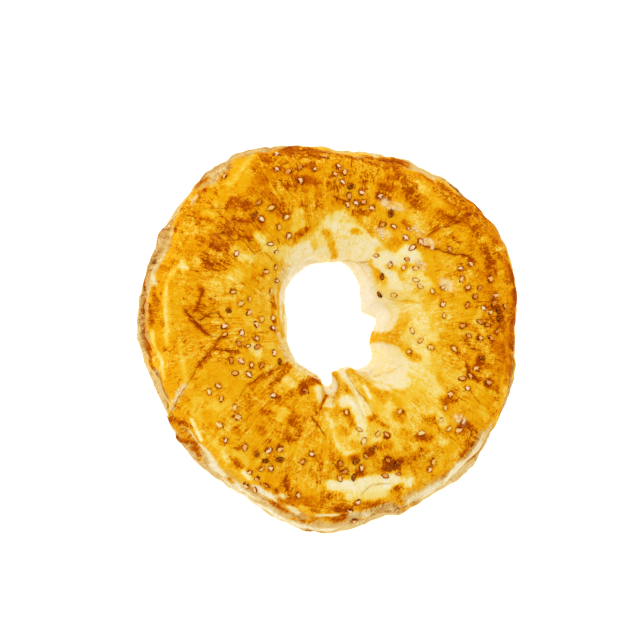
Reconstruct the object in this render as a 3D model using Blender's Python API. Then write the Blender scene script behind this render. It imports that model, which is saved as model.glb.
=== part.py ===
"""A ring of filled bread, about 150 mm across: one closed roll of dough, its seams and folds
pressed in as relief, with sesame seeds baked into its top.

Metres, +Z up. The origin is under the middle of the ring, on the surface that it rests on.
The sizes below are in millimetres and degrees. A place on the roll is given by two angles:
the turn round the hole, anticlockwise from +X, and the side of the roll, which is 0 on its
outer side, 90 on its crest, 180 in the hole and 270 on its base.
"""

import math
from collections import namedtuple

import bmesh
import bpy
import numpy as np
from mathutils import Matrix, Vector, noise
from mathutils.bvhtree import BVHTree

MM = 0.001
NODE = "bread_ring"

# --- The roll of dough ---------------------------------------------------------------------
# Plan place of the middle of the hole, from which the plan outline is measured.
HOLE_CENTRE = (-1.0, 3.0)
# Outer and inner plan radius at every 15 degrees of turn.
OUTER_RADIUS = (
    75.0, 79.0, 80.0, 79.0, 77.0, 73.5, 74.5, 76.0,
    77.5, 79.0, 77.0, 75.0, 75.5, 74.0, 73.0, 75.5,
    74.0, 78.0, 80.5, 77.5, 76.5, 79.0, 77.0, 76.5,
)
INNER_RADIUS = (
    18.0, 20.0, 16.5, 19.5, 25.0, 29.0, 28.5, 28.0,
    27.0, 24.5, 21.0, 18.0, 16.5, 17.0, 18.0, 19.0,
    18.5, 18.0, 21.0, 15.0, 17.5, 19.5, 20.0, 17.5,
)
# Height of the crest at every 45 degrees of turn.
CREST_HEIGHT = (32.0, 32.0, 30.5, 32.0, 33.0, 33.5, 34.0, 33.0)
WIDEST_SHARE = 0.24        # height of the widest line, as a share of the crest's height
DOME_POWER = 2.15          # how square the domed top is: 2 is an ellipse
BASE_POWER = 2.6
BASE_DEPTH = 1.30          # how far the base would bulge, before the surface flattens it
LUMP_SIZE = 24.0           # broad lumps of the filling under the skin
LUMP_HEIGHT = 1.3
DIMPLE_SIZE = 9.0
DIMPLE_HEIGHT = 0.45
BASE_CLEAR = (1.5, 8.0)    # the relief starts at the first height and is whole at the second

# --- Folds and seams -----------------------------------------------------------------------
# A route is a row of (turn, side) places. A ridge has a height, a valley a height below zero.
# A lap is a step: the skin on the left of its route stands up and falls back over its width.
Fold = namedtuple("Fold", "kind width height route")
FOLDS = (
    # the flap that the roll was closed with, lower left, and its lips on the rim
    Fold("lap", 9.0, 1.9, ((187, 101), (195, 76), (202, 63), (205, 48), (209, 14))),
    Fold("ridge", 3.0, 1.5, ((209, 14), (213, 16), (217, 14))),
    Fold("ridge", 3.0, 1.4, ((218, 8), (224, 13), (229, 17))),
    Fold("ridge", 3.4, -1.6, ((211, 32), (217, 30), (222, 26), (228, 27))),
    # the forked crease on the left
    Fold("ridge", 2.6, -2.0, ((177, 62), (181, 72), (184, 76), (180, 88))),
    Fold("ridge", 2.4, -1.2, ((184, 76), (188, 84))),
    # two cracks, upper right, with a tongue of skin between them
    Fold("lap", 7.0, -1.2, ((41, 96), (42, 86), (41, 74), (40, 52))),
    Fold("lap", 7.0, 1.2, ((40, 101), (38, 91), (33, 83), (28, 68))),
    # the notch of the hole and the pleats that run out of it
    Fold("ridge", 2.6, -2.6, ((268, 172), (269, 150), (262, 122))),
    Fold("ridge", 3.2, 1.5, ((277, 172), (278, 140), (277, 112))),
    Fold("ridge", 2.4, -2.4, ((285, 172), (285, 140), (288, 105))),
    Fold("ridge", 3.2, 1.7, ((292, 170), (297, 140), (304, 114))),
    Fold("ridge", 2.4, -1.2, ((299, 150), (300, 125), (301, 112))),
    # the pale scoop beside the pleats, its crease and the rib above it
    Fold("ridge", 9.0, -2.6, ((334, 152), (312, 134))),
    Fold("ridge", 2.2, -0.9, ((305, 152), (324, 144), (332, 126))),
    Fold("ridge", 3.6, 1.3, ((347, 172), (350, 146), (352, 124))),
    # the inner wall, upper right
    Fold("ridge", 5.0, -1.5, ((34, 158), (14, 154))),
    Fold("lap", 5.0, 1.0, ((84, 172), (66, 157), (52, 140))),
    # the long dent and the wavy folds along the lower rim
    Fold("ridge", 5.0, -2.4, ((246, 60), (260, 64), (272, 68), (284, 62), (304, 52))),
    Fold("ridge", 3.4, 1.3, ((256, 46), (268, 50), (280, 47), (294, 42))),
    Fold("ridge", 2.4, -1.3, ((268, 30), (278, 34), (290, 30), (304, 33))),
    # the shallow trough along the left rim
    Fold("ridge", 4.0, -1.1, ((148, 22), (164, 36), (178, 42), (194, 34))),
    # broad dents in the skin
    Fold("ridge", 9.0, -1.2, ((84, 120), (98, 128))),
    Fold("ridge", 8.0, -1.2, ((352, 92), (338, 84))),
)

# --- Sesame seeds --------------------------------------------------------------------------
SEED_LENGTH = 3.3
SEED_WIDTH = 2.1
SEED_THICKNESS = 1.5
SEED_SIZE_SPREAD = 0.14
SEED_TAPER = 0.30          # how much narrower the pointed end is
SEED_SUNK = 0.05           # how deep its middle lies in the skin, as a share of its thickness
SEED_GAP = 3.1             # least distance between the middles of two seeds
SEED_SIDES, SEED_RINGS = 6, 3
SEED_DRAW = 12
LOWEST_SEED = 9.0          # no seed sits lower than this on the rim
# A patch is a plan place, how far its seeds spread, and how many there are.
Patch = namedtuple("Patch", "x y spread count")
SEED_PATCHES = (
    # along the top
    Patch(-20, 66, 5, 3), Patch(-9, 66, 6, 2), Patch(-15, 61, 3, 2), Patch(3, 62, 4, 4),
    Patch(8, 53, 4, 6), Patch(16, 50, 3, 2), Patch(21, 43, 3, 3),
    # upper left
    Patch(-42, 60, 2, 1), Patch(-29, 45, 5, 4), Patch(-20, 40, 4, 3), Patch(-23, 33, 3, 2),
    Patch(-39, 28, 3, 1),
    # left
    Patch(-26, 20, 5, 4), Patch(-38, 9, 5, 5), Patch(-28, 3, 4, 4), Patch(-42, -2, 2, 2),
    Patch(-33, -8, 5, 5), Patch(-37, -15, 4, 4), Patch(-30, -18, 3, 2), Patch(-21, -12, 3, 2),
    # lower left
    Patch(-46, -26, 4, 3), Patch(-41, -33, 3, 2), Patch(-42, -41, 3, 2), Patch(-24, -27, 2, 1),
    Patch(-12, -25, 2, 1), Patch(-9, -46, 6, 2), Patch(-32, -48, 3, 2), Patch(-25, -51, 4, 6),
    Patch(-30, -58, 4, 5), Patch(-14, -64, 2, 1),
    # bottom
    Patch(10, -68, 6, 3), Patch(5, -39, 6, 3), Patch(12, -47, 3, 3), Patch(6, -56, 5, 6),
    Patch(22, -53, 4, 5), Patch(18, -44, 3, 2),
    # lower right
    Patch(23, -32, 2, 1), Patch(40, -33, 3, 2), Patch(45, -38, 3, 2), Patch(34, -42, 2, 1),
    Patch(39, -51, 3, 2),
    # right
    Patch(49, -22, 5, 3), Patch(57, -15, 5, 4), Patch(45, -8, 2, 1), Patch(33, -4, 5, 4),
    Patch(53, 0, 4, 3), Patch(61, 0, 4, 4), Patch(63, 7, 5, 6), Patch(55, 12, 6, 4),
    Patch(43, 8, 3, 2), Patch(65, 14, 2, 1),
    # upper right
    Patch(48, 22, 6, 4), Patch(36, 20, 5, 4), Patch(19, 19, 5, 3), Patch(20, 28, 4, 2),
    Patch(28, 26, 3, 2), Patch(32, 37, 5, 3), Patch(44, 31, 2, 1), Patch(61, 23, 2, 1),
)

# --- The mesh ------------------------------------------------------------------------------
AROUND_STEPS = 110
SECTION_STEPS = 26
FINE_SIDE = 280.0          # the folds beside the notch take closer columns
FINE_AROUND = 0.32
FINE_TOP = 0.40            # the top takes closer rows than the flat base
TORUS_RADIUS, TORUS_TUBE = 2.0, 1.0

CRUST_COLOUR = (0.78, 0.39, 0.045)
CRUST_ROUGHNESS = 0.45


# --- The shape of the roll -------------------------------------------------------------------
def smooth_step(low, high, value):
    """0 below low, 1 above high, with a smooth rise between them."""
    share = np.clip((value - low) / (high - low), 0.0, 1.0)
    return share * share * (3.0 - 2.0 * share)


def round_the_ring(stations, turn):
    """A smooth closed curve through evenly spaced values, read at the angle turn."""
    values = np.asarray(stations, float)
    count = len(values)
    place = np.mod(turn, 2 * math.pi) / (2 * math.pi) * count
    before = np.floor(place).astype(int)
    share = place - before
    a, b, c, d = (values[(before + step) % count] for step in (-1, 0, 1, 2))
    return b + 0.5 * share * (
        c - a + share * (2 * a - 5 * b + 4 * c - d + share * (3 * (b - c) + d - a))
    )


def signed_power(value, power):
    """A power that keeps the sign of its value."""
    return np.sign(value) * np.abs(value) ** power


def plain_roll(turn, side):
    """Points of the roll before its relief, at the angles turn and side."""
    outer = round_the_ring(OUTER_RADIUS, turn)
    inner = round_the_ring(INNER_RADIUS, turn)
    crest = round_the_ring(CREST_HEIGHT, turn)
    widest = WIDEST_SHARE * crest
    upper = np.sin(side) >= 0.0
    power = np.where(upper, 2.0 / DOME_POWER, 2.0 / BASE_POWER)
    reach = np.where(upper, crest - widest, BASE_DEPTH * widest)
    across = signed_power(np.cos(side), power)
    radius = 0.5 * (outer + inner) + 0.5 * (outer - inner) * across
    height = np.maximum(widest + reach * signed_power(np.sin(side), power), 0.0)
    x = HOLE_CENTRE[0] + radius * np.cos(turn)
    y = HOLE_CENTRE[1] + radius * np.sin(turn)
    return np.column_stack((x, y, height))


def outward(turn, side):
    """Directions square to the plain roll, pointing out of the dough."""
    step = 0.01
    along = plain_roll(turn + step, side) - plain_roll(turn - step, side)
    across = plain_roll(turn, side + step) - plain_roll(turn, side - step)
    square = np.cross(along, across)
    return square / np.maximum(np.linalg.norm(square, axis=1, keepdims=True), 1e-9)


# --- Relief ----------------------------------------------------------------------------------
def route_points(route, steps=12):
    """A route's places as closely spaced points on the plain roll."""
    places = np.radians(np.array(route, float))
    rows = np.linspace(0, len(places) - 1, steps * (len(places) - 1) + 1)
    turn = np.interp(rows, np.arange(len(places)), places[:, 0])
    side = np.interp(rows, np.arange(len(places)), places[:, 1])
    return plain_roll(turn, side)


def from_route(points, normals, route):
    """Distance of each point from a route, and how far it lies to the route's left."""
    line = route_points(route)
    gaps = points[:, None, :] - line[None, :, :]
    nearest = np.argmin(np.einsum("ijk,ijk->ij", gaps, gaps), axis=1)
    gap = gaps[np.arange(len(points)), nearest]
    along = np.gradient(line, axis=0)[nearest]
    left = np.cross(normals, along)
    left /= np.maximum(np.linalg.norm(left, axis=1, keepdims=True), 1e-9)
    return np.linalg.norm(gap, axis=1), np.einsum("ij,ij->i", gap, left)


def fold_height(fold, points, normals):
    """How far one fold lifts each point."""
    distance, left = from_route(points, normals, fold.route)
    if fold.kind == "ridge":
        return fold.height * np.exp(-(distance / fold.width) ** 2)
    rise = smooth_step(-0.8, 0.8, left)
    return fold.height * rise * np.exp(-(distance / fold.width) ** 2)


def lumps(points, size):
    """Smooth noise between about -1 and 1 with features of the given size."""
    return np.array([noise.noise(Vector(point) / size) for point in points]) * 1.6


def relief(points, normals):
    """How far the finished skin stands off the plain roll."""
    lift = LUMP_HEIGHT * lumps(points, LUMP_SIZE) + DIMPLE_HEIGHT * lumps(points, DIMPLE_SIZE)
    for fold in FOLDS:
        lift += fold_height(fold, points, normals)
    return lift * smooth_step(*BASE_CLEAR, points[:, 2])


def closer_steps(angle, middle, closeness):
    """The same turn with its steps closer together round the angle middle."""
    return angle - closeness * np.sin(angle - middle)


def ring_of_dough():
    """The roll as a torus whose points are moved onto the bread's own surface."""
    bpy.ops.mesh.primitive_torus_add(
        major_segments=AROUND_STEPS, minor_segments=SECTION_STEPS,
        major_radius=TORUS_RADIUS, minor_radius=TORUS_TUBE,
    )
    ring = bpy.context.object
    ring.name = ring.data.name = NODE
    mesh = ring.data
    points = np.array([vertex.co for vertex in mesh.vertices])
    turn = np.arctan2(points[:, 1], points[:, 0])
    side = np.arctan2(points[:, 2], np.hypot(points[:, 0], points[:, 1]) - TORUS_RADIUS)
    turn = closer_steps(turn, math.radians(FINE_SIDE), FINE_AROUND)
    side = closer_steps(side, math.radians(90), FINE_TOP)
    points = plain_roll(turn, side)
    normals = outward(turn, side)
    points += normals * relief(points, normals)[:, None]
    points[:, :2] -= 0.5 * (points[:, :2].min(axis=0) + points[:, :2].max(axis=0))
    points[:, 2] = np.maximum(points[:, 2] - points[:, 2].min(), 0.0)
    mesh.vertices.foreach_set("co", (points * MM).ravel())
    mesh.update()
    return ring


# --- Sesame seeds ----------------------------------------------------------------------------
def seed_places():
    """Plan places of the seeds, patch by patch, none nearer to another than SEED_GAP."""
    draw = np.random.default_rng(SEED_DRAW)
    places = []
    for patch in SEED_PATCHES:
        wanted = len(places) + patch.count
        for _ in range(60 * patch.count):
            place = np.array((patch.x, patch.y)) + patch.spread * draw.uniform(-1, 1, 2)
            if len(places) < wanted and all(
                np.linalg.norm(place - other) > SEED_GAP for other in places
            ):
                places.append(place)
    return places


def seed_mesh():
    """One seed lying along +X, its pointed end forward, in millimetres."""
    body = bmesh.new()
    bmesh.ops.create_uvsphere(
        body, u_segments=SEED_SIDES, v_segments=SEED_RINGS, radius=0.5,
        matrix=Matrix.Rotation(math.radians(90), 4, "Y"),
    )
    for vertex in body.verts:
        slim = 1.0 - SEED_TAPER * 2.0 * max(vertex.co.x, 0.0)
        vertex.co.x *= SEED_LENGTH
        vertex.co.y *= SEED_WIDTH * slim
        vertex.co.z *= SEED_THICKNESS * slim
    mesh = bpy.data.meshes.new("sesame_seed")
    body.to_mesh(mesh)
    body.free()
    return mesh


def lay_seeds(ring, home):
    """Lay seeds flat on the skin of the ring, each turned its own way."""
    mesh = seed_mesh()
    skin = BVHTree.FromObject(ring, bpy.context.evaluated_depsgraph_get())
    draw = np.random.default_rng(SEED_DRAW + 1)
    above = Vector((0.0, 0.0, 0.1))
    for place in seed_places():
        spin = draw.uniform(0, 2 * math.pi)
        size = 1.0 + draw.uniform(-SEED_SIZE_SPREAD, SEED_SIZE_SPREAD)
        start = Vector((place[0] * MM, place[1] * MM, 0.0)) + above
        spot, normal, _, _ = skin.ray_cast(start, Vector((0.0, 0.0, -1.0)))
        if spot is None or spot.z < LOWEST_SEED * MM:
            continue
        seed = bpy.data.objects.new("sesame_seed", mesh)
        sunk = spot - normal * (SEED_SUNK * SEED_THICKNESS * MM)
        seed.matrix_world = (
            Matrix.Translation(sunk)
            @ normal.to_track_quat("Z", "Y").to_matrix().to_4x4()
            @ Matrix.Rotation(spin, 4, "Z")
            @ Matrix.Scale(size * MM, 4)
        )
        home.objects.link(seed)


def bake_in_seeds(ring, home):
    """Join the seeds to the dough with one union and remove the loose ones."""
    union = ring.modifiers.new("seeds baked in", "BOOLEAN")
    union.operation = "UNION"
    union.solver = "EXACT"
    union.operand_type = "COLLECTION"
    union.collection = home
    bpy.context.view_layer.objects.active = ring
    bpy.ops.object.modifier_apply(modifier=union.name)
    for seed in list(home.objects):
        bpy.data.objects.remove(seed)
    bpy.data.collections.remove(home)


# --- The whole -------------------------------------------------------------------------------
def crust_material():
    """Egg-washed crust, golden and softly shining."""
    material = bpy.data.materials.new("golden_crust")
    material.use_nodes = True
    shader = material.node_tree.nodes["Principled BSDF"]
    shader.inputs["Base Color"].default_value = (*CRUST_COLOUR, 1.0)
    shader.inputs["Roughness"].default_value = CRUST_ROUGHNESS
    shader.inputs["Metallic"].default_value = 0.0
    return material


def new_collection(name):
    """A collection in the scene."""
    collection = bpy.data.collections.new(name)
    bpy.context.scene.collection.children.link(collection)
    return collection


def main():
    """Model the bread ring."""
    for old in list(bpy.data.objects):
        bpy.data.objects.remove(old)
    bread = new_collection("filled_bread")
    seeds = new_collection("sesame_seeds")
    ring = ring_of_dough()
    for collection in list(ring.users_collection):
        collection.objects.unlink(ring)
    bread.objects.link(ring)
    lay_seeds(ring, seeds)
    bake_in_seeds(ring, seeds)
    ring.data.materials.clear()
    ring.data.materials.append(crust_material())
    ring.data.shade_smooth()


if __name__ == "__main__":
    main()
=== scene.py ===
"""Looks of a hand-shaped ring of filled bread: an egg-washed golden crust with its folds, brown
patches and pale creases, and the sesame seeds and flakes of skin that lie on it.

The sizes of the bread are in millimetres and degrees, and the scene is in metres. A place on the
roll is given by two angles: the turn round the hole, anticlockwise from +X, and the side of the
roll, which is 0 on its outer side, 90 on its crest, 180 in the hole and 270 on its base.
"""

import logging
import math
from collections.abc import Sequence
from dataclasses import dataclass, field, fields
from enum import Enum

import bmesh
import bpy
import numpy as np
from bpy.types import Material, Mesh, Node, NodeSocket, NodeTree, Object
from mathutils import Matrix, Vector, noise
from mathutils.bvhtree import BVHTree


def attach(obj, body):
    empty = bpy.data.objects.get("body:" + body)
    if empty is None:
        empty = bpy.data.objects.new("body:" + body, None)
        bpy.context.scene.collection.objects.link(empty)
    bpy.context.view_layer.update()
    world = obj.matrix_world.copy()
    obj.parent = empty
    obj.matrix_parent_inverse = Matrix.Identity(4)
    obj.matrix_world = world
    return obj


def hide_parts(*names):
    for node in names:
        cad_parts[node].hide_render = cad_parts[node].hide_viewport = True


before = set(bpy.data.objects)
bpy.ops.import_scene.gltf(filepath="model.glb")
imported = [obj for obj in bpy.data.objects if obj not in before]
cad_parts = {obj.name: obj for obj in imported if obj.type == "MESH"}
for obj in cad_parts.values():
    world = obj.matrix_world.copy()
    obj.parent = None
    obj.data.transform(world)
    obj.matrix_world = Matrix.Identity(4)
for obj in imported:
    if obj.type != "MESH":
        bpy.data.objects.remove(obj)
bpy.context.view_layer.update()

log = logging.getLogger("bread_ring")

MM = 0.001
BODY = "root"
NODE = "bread_ring"
NOISE_SEED = 1795539654         # Blender starts its vector noise from the clock without one

Route = tuple[tuple[float, float], ...]
Stops = tuple[tuple[float, str], ...]
Stations = tuple[tuple[float, float], ...]      # a place along something, and a value there
Range = tuple[float, float]
Inputs = dict[str | int, object]
Sockets = dict[str, NodeSocket]


# --- Small tools -----------------------------------------------------------------------------
def linear(colour: str) -> tuple[float, float, float, float]:
    """Turn an sRGB hex colour into Blender's linear colour.

    Args:
        colour: six hex digits after a hash sign.

    Returns:
        Linear red, green and blue, and an alpha of 1.
    """
    parts = (int(colour[place:place + 2], 16) / 255.0 for place in (1, 3, 5))
    bright = (part / 12.92 if part <= 0.04045 else ((part + 0.055) / 1.055) ** 2.4 for part in parts)
    return (*bright, 1.0)


def set_inputs(tree: NodeTree, node: Node, inputs: Inputs) -> None:
    """Set a node's inputs, or link them to what gives their values.

    Args:
        tree: the node tree that holds the node.
        node: the node.
        inputs: for each input, a value, an output socket, or a node whose first output it takes.
    """
    for socket, value in inputs.items():
        if isinstance(value, Node):
            value = next(output for output in value.outputs if output.enabled)
        if isinstance(value, NodeSocket):
            tree.links.new(value, node.inputs[socket])
        else:
            node.inputs[socket].default_value = value


def add_node(
    tree: NodeTree, kind: str, inputs: Inputs | None = None, **settings: object
) -> Node:
    """Add a shader node with its settings and links.

    Args:
        tree: the node tree that gets the node.
        kind: Blender's name for the kind of node.
        inputs: what set_inputs takes, for each input by name or place.
        settings: the node's own properties.

    Returns:
        The new node.
    """
    node = tree.nodes.new(kind)
    for name, value in settings.items():
        setattr(node, name, value)
    set_inputs(tree, node, inputs or {})
    return node


def scale_of(size: float) -> float:
    """Turn the size of a texture's features in millimetres into the texture's scale."""
    return 1.0 / (size * MM)


def span(side: str, limits: Range) -> Inputs:
    """Spell limits out as the inputs on one side, From or To, of a map range."""
    return {f"{side} Min": limits[0], f"{side} Max": limits[1]}


def fill_ramp(ramp: Node, stops: Stops) -> Node:
    """Set the stops of a colour ramp.

    Args:
        ramp: the colour ramp.
        stops: a place from 0 to 1 and an sRGB hex colour for each stop, in order.

    Returns:
        The ramp.
    """
    elements = ramp.color_ramp.elements
    while len(elements) < len(stops):
        elements.new(1.0)
    for element, (place, colour) in zip(elements, stops):
        element.position = place
        element.color = linear(colour)
    return ramp


def smooth_step(low: float, high: float, value: np.ndarray) -> np.ndarray:
    """Rise smoothly from 0 at low to 1 at high.

    Args:
        low: where the rise starts.
        high: where it ends.
        value: the values to read.

    Returns:
        The share of the rise at each value.
    """
    share = np.clip((value - low) / (high - low), 0.0, 1.0)
    return share * share * (3.0 - 2.0 * share)


@dataclass(frozen=True)
class Lumps:
    """Smooth noise of one size and height in millimetres, or in what it is added to."""

    size: float
    height: float = 1.0
    shift: float = 0.0              # moves the noise, so that two that are alike differ
    gain = 1.6                      # brings Blender's noise to between about -1 and 1

    def read(self, points: np.ndarray) -> np.ndarray:
        """Find the noise's height at points in millimetres."""
        moved = points / self.size + self.shift
        return self.height * (np.array([noise.noise(Vector(point)) for point in moved]) * self.gain)

    def drift(self, points: np.ndarray) -> np.ndarray:
        """Find by how much the noise moves points in millimetres, in all three directions."""
        moved = points / self.size + self.shift
        return self.height * np.array([noise.noise_vector(Vector(point)) for point in moved])


def unit(rows: np.ndarray) -> np.ndarray:
    """Bring each row of numbers to length 1."""
    return rows / np.maximum(np.linalg.norm(rows, axis=1, keepdims=True), 1e-9)


def in_degrees(side: np.ndarray) -> np.ndarray:
    """Turn sides from radians into degrees, from -90 in the middle of the base round to 270."""
    return np.mod(np.degrees(side) + 90.0, 360.0) - 90.0


def set_values(mesh: Mesh, name: str, values: np.ndarray) -> None:
    """Store a number or a vector for each vertex, which a material reads by its name.

    Args:
        mesh: the mesh.
        name: the attribute's name.
        values: a number, or a row of three, for each vertex.
    """
    kind, field_name = ("FLOAT", "value") if values.ndim == 1 else ("FLOAT_VECTOR", "vector")
    attribute = mesh.attributes.new(name, kind, "POINT")
    attribute.data.foreach_set(field_name, np.asarray(values, np.float32).ravel())


def new_piece(name: str, mesh: Mesh) -> Object:
    """Put a mesh in the scene as an object with smooth shading.

    Args:
        name: the object's name.
        mesh: its mesh.

    Returns:
        The object.
    """
    piece = bpy.data.objects.new(name, mesh)
    bpy.context.scene.collection.objects.link(piece)
    mesh.shade_smooth()
    return piece


# --- What the crust is like, place by place ---------------------------------------------------
class Bake(Enum):
    """How a place on the crust is baked: its browning, and how much egg wash lies on it."""

    CREAM = (0.06, 1.0)
    PALE = (0.20, 1.0)
    YELLOW = (0.34, 1.0)
    GOLD = (0.48, 1.0)
    AMBER = (0.60, 1.0)
    ORANGE = (0.71, 1.0)
    BROWN = (0.83, 1.0)
    DARK = (0.96, 1.0)
    RAW = (0.14, 0.0)           # sides that the wash missed
    FAWN = (0.32, 0.0)
    TAN = (0.51, 0.0)
    RUST = (0.62, 0.0)
    BARE = (0.0, 0.0)           # rough spots where the washed skin has flaked away

    @property
    def browning(self) -> float:
        """Browning from 0, dough, to 1, scorched."""
        return self.value[0]

    @property
    def washed(self) -> float:
        """1 where the egg wash lies, 0 where it is missing."""
        return self.value[1]


class FoldKind(Enum):
    """The shape of a fold across its route."""

    RIDGE = "ridge"
    LAP = "lap"


class RouteKind(Enum):
    """What the places of a route are: a turn and a side of the roll in degrees, or the pixels of
    the photograph, which is 640 across, at which they show."""

    ANGLES = "angles"
    PIXELS = "pixels"


@dataclass(frozen=True)
class Fold:
    """A fold in the dough, with its route in degrees. A ridge is a valley where its height is
    below zero; a lap is a step whose skin stands up on the left of its route."""

    kind: FoldKind
    width: float                    # how far from its route it has faded to about a third
    height: float
    route: Route


@dataclass(frozen=True)
class Crease:
    """A thin line pressed into the skin, with its route in pixels of the photograph. Its dark line is
    partly scorched crust and partly painted shade in the crease.
    """

    width: float                    # how far from its route it has faded to about a third
    depth: float
    # darkness of its line: partly scorching, partly painted shade in the crease
    scorch_and_shade: float                   # how dark it is, from 0 to 1
    route: Route


@dataclass(frozen=True)
class Stroke:
    """A patch of the crust that is baked more or less than the rest."""

    bake: Bake
    width: float                    # about half of how wide it is
    route: Route


@dataclass(frozen=True)
class Patch:
    """A group of sesame seeds: its plan place, how far it spreads and how many it has."""

    x: float
    y: float
    spread: float
    count: int


def from_rows(record: type, *rows: tuple) -> tuple:
    """Make folds, creases or strokes from rows of their values, with the route's places last.

    Args:
        record: the class of the records.
        rows: the values of each.

    Returns:
        One record for each row.
    """
    values = len(fields(record)) - 1
    return tuple(record(*row[:values], row[values:]) for row in rows)


RIDGE, LAP = FoldKind
CREAM, PALE, YELLOW, GOLD, AMBER, ORANGE, BROWN, DARK, RAW, FAWN, TAN, RUST, BARE = Bake

# The kind, width and height of each fold, and then the places of its route.
FOLDS = from_rows(
    Fold,
    # the flap that the roll was closed with, lower left, and its lips on the rim
    (LAP, 9.0, 1.9, (187, 101), (195, 76), (202, 63), (205, 48), (209, 14)),
    (RIDGE, 3.0, 1.5, (209, 14), (213, 16), (217, 14)),
    (RIDGE, 3.0, 1.4, (218, 8), (224, 13), (229, 17)),
    (RIDGE, 3.4, -1.6, (211, 32), (217, 30), (222, 26), (228, 27)),
    # the forked crease on the left
    (RIDGE, 2.6, -2.0, (177, 62), (181, 72), (184, 76), (180, 88)),
    (RIDGE, 2.4, -1.2, (184, 76), (188, 84)),
    # two cracks, upper right, with a tongue of skin between them
    (LAP, 7.0, -1.2, (41, 96), (42, 86), (41, 74), (40, 52)),
    (LAP, 7.0, 1.2, (40, 101), (38, 91), (33, 83), (28, 68)),
    # the notch of the hole and the pleats that run out of it
    (RIDGE, 2.6, -2.6, (268, 172), (269, 150), (262, 122)),
    (RIDGE, 3.2, 1.5, (277, 172), (278, 140), (277, 112)),
    (RIDGE, 2.4, -2.4, (285, 172), (285, 140), (288, 105)),
    (RIDGE, 3.2, 1.7, (292, 170), (297, 140), (304, 114)),
    (RIDGE, 2.4, -1.2, (299, 150), (300, 125), (301, 112)),
    # the pale scoop beside the pleats, its crease and the rib above it
    (RIDGE, 9.0, -2.6, (334, 152), (312, 134)),
    (RIDGE, 2.2, -0.9, (305, 152), (324, 144), (332, 126)),
    (RIDGE, 3.6, 1.3, (347, 172), (350, 146), (352, 124)),
    # the inner wall, upper right
    (RIDGE, 5.0, -1.5, (34, 158), (14, 154)),
    (LAP, 5.0, 1.0, (84, 172), (66, 157), (52, 140)),
    # the long dent and the wavy folds along the lower rim
    (RIDGE, 5.0, -2.4, (246, 60), (260, 64), (272, 68), (284, 62), (304, 52)),
    (RIDGE, 3.4, 1.3, (256, 46), (268, 50), (280, 47), (294, 42)),
    (RIDGE, 2.4, -1.3, (268, 30), (278, 34), (290, 30), (304, 33)),
    # the shallow trough along the left rim
    (RIDGE, 4.0, -1.1, (148, 22), (164, 36), (178, 42), (194, 34)),
    # bulges and dents of the outermost line
    (RIDGE, 6.0, -3.3, (276, 8), (284, 8)),
    (RIDGE, 3.5, 0.9, (289, 6), (295, 6)),
    (RIDGE, 7.0, -3.0, (224, 4), (232, 2)),
    (RIDGE, 5.0, -2.4, (199, 7), (212, 6)),
    (RIDGE, 5.0, -2.4, (172, 13), (188, 12)),
    (RIDGE, 5.5, -3.0, (136, 9), (142, 9)),
    (RIDGE, 4.0, 0.8, (153, 12), (157, 12)),
    (RIDGE, 3.0, 1.3, (130, 22), (135, 24)),
    (RIDGE, 5.0, 0.9, (116, 24), (126, 22)),
    (RIDGE, 5.0, -1.3, (52, 28), (92, 34)),
    (RIDGE, 4.5, -1.5, (47, 16), (60, 18)),
    (RIDGE, 4.0, -1.3, (75, 20), (88, 20)),
    (RIDGE, 4.5, 0.6, (32, 22), (40, 22)),
    (RIDGE, 4.5, -1.5, (302, 8), (314, 10)),
    (RIDGE, 4.5, -0.8, (316, 14), (326, 14)),
    (RIDGE, 2.6, 1.8, (276, 176), (278, 164)),
    (RIDGE, 3.5, -1.6, (104, 168), (136, 168)),
    (RIDGE, 2.8, 1.7, (43, 172), (48, 172)),
    (RIDGE, 3.0, -1.3, (57, 171), (64, 171)),
    (RIDGE, 3.0, -0.9, (28, 172), (37, 172)),
    (RIDGE, 3.5, -1.4, (340, 170), (352, 170)),
    # broad dents in the skin
    (RIDGE, 9.0, -1.2, (84, 120), (98, 128)),
    (RIDGE, 8.0, -1.2, (352, 92), (338, 84)),
)
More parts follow.
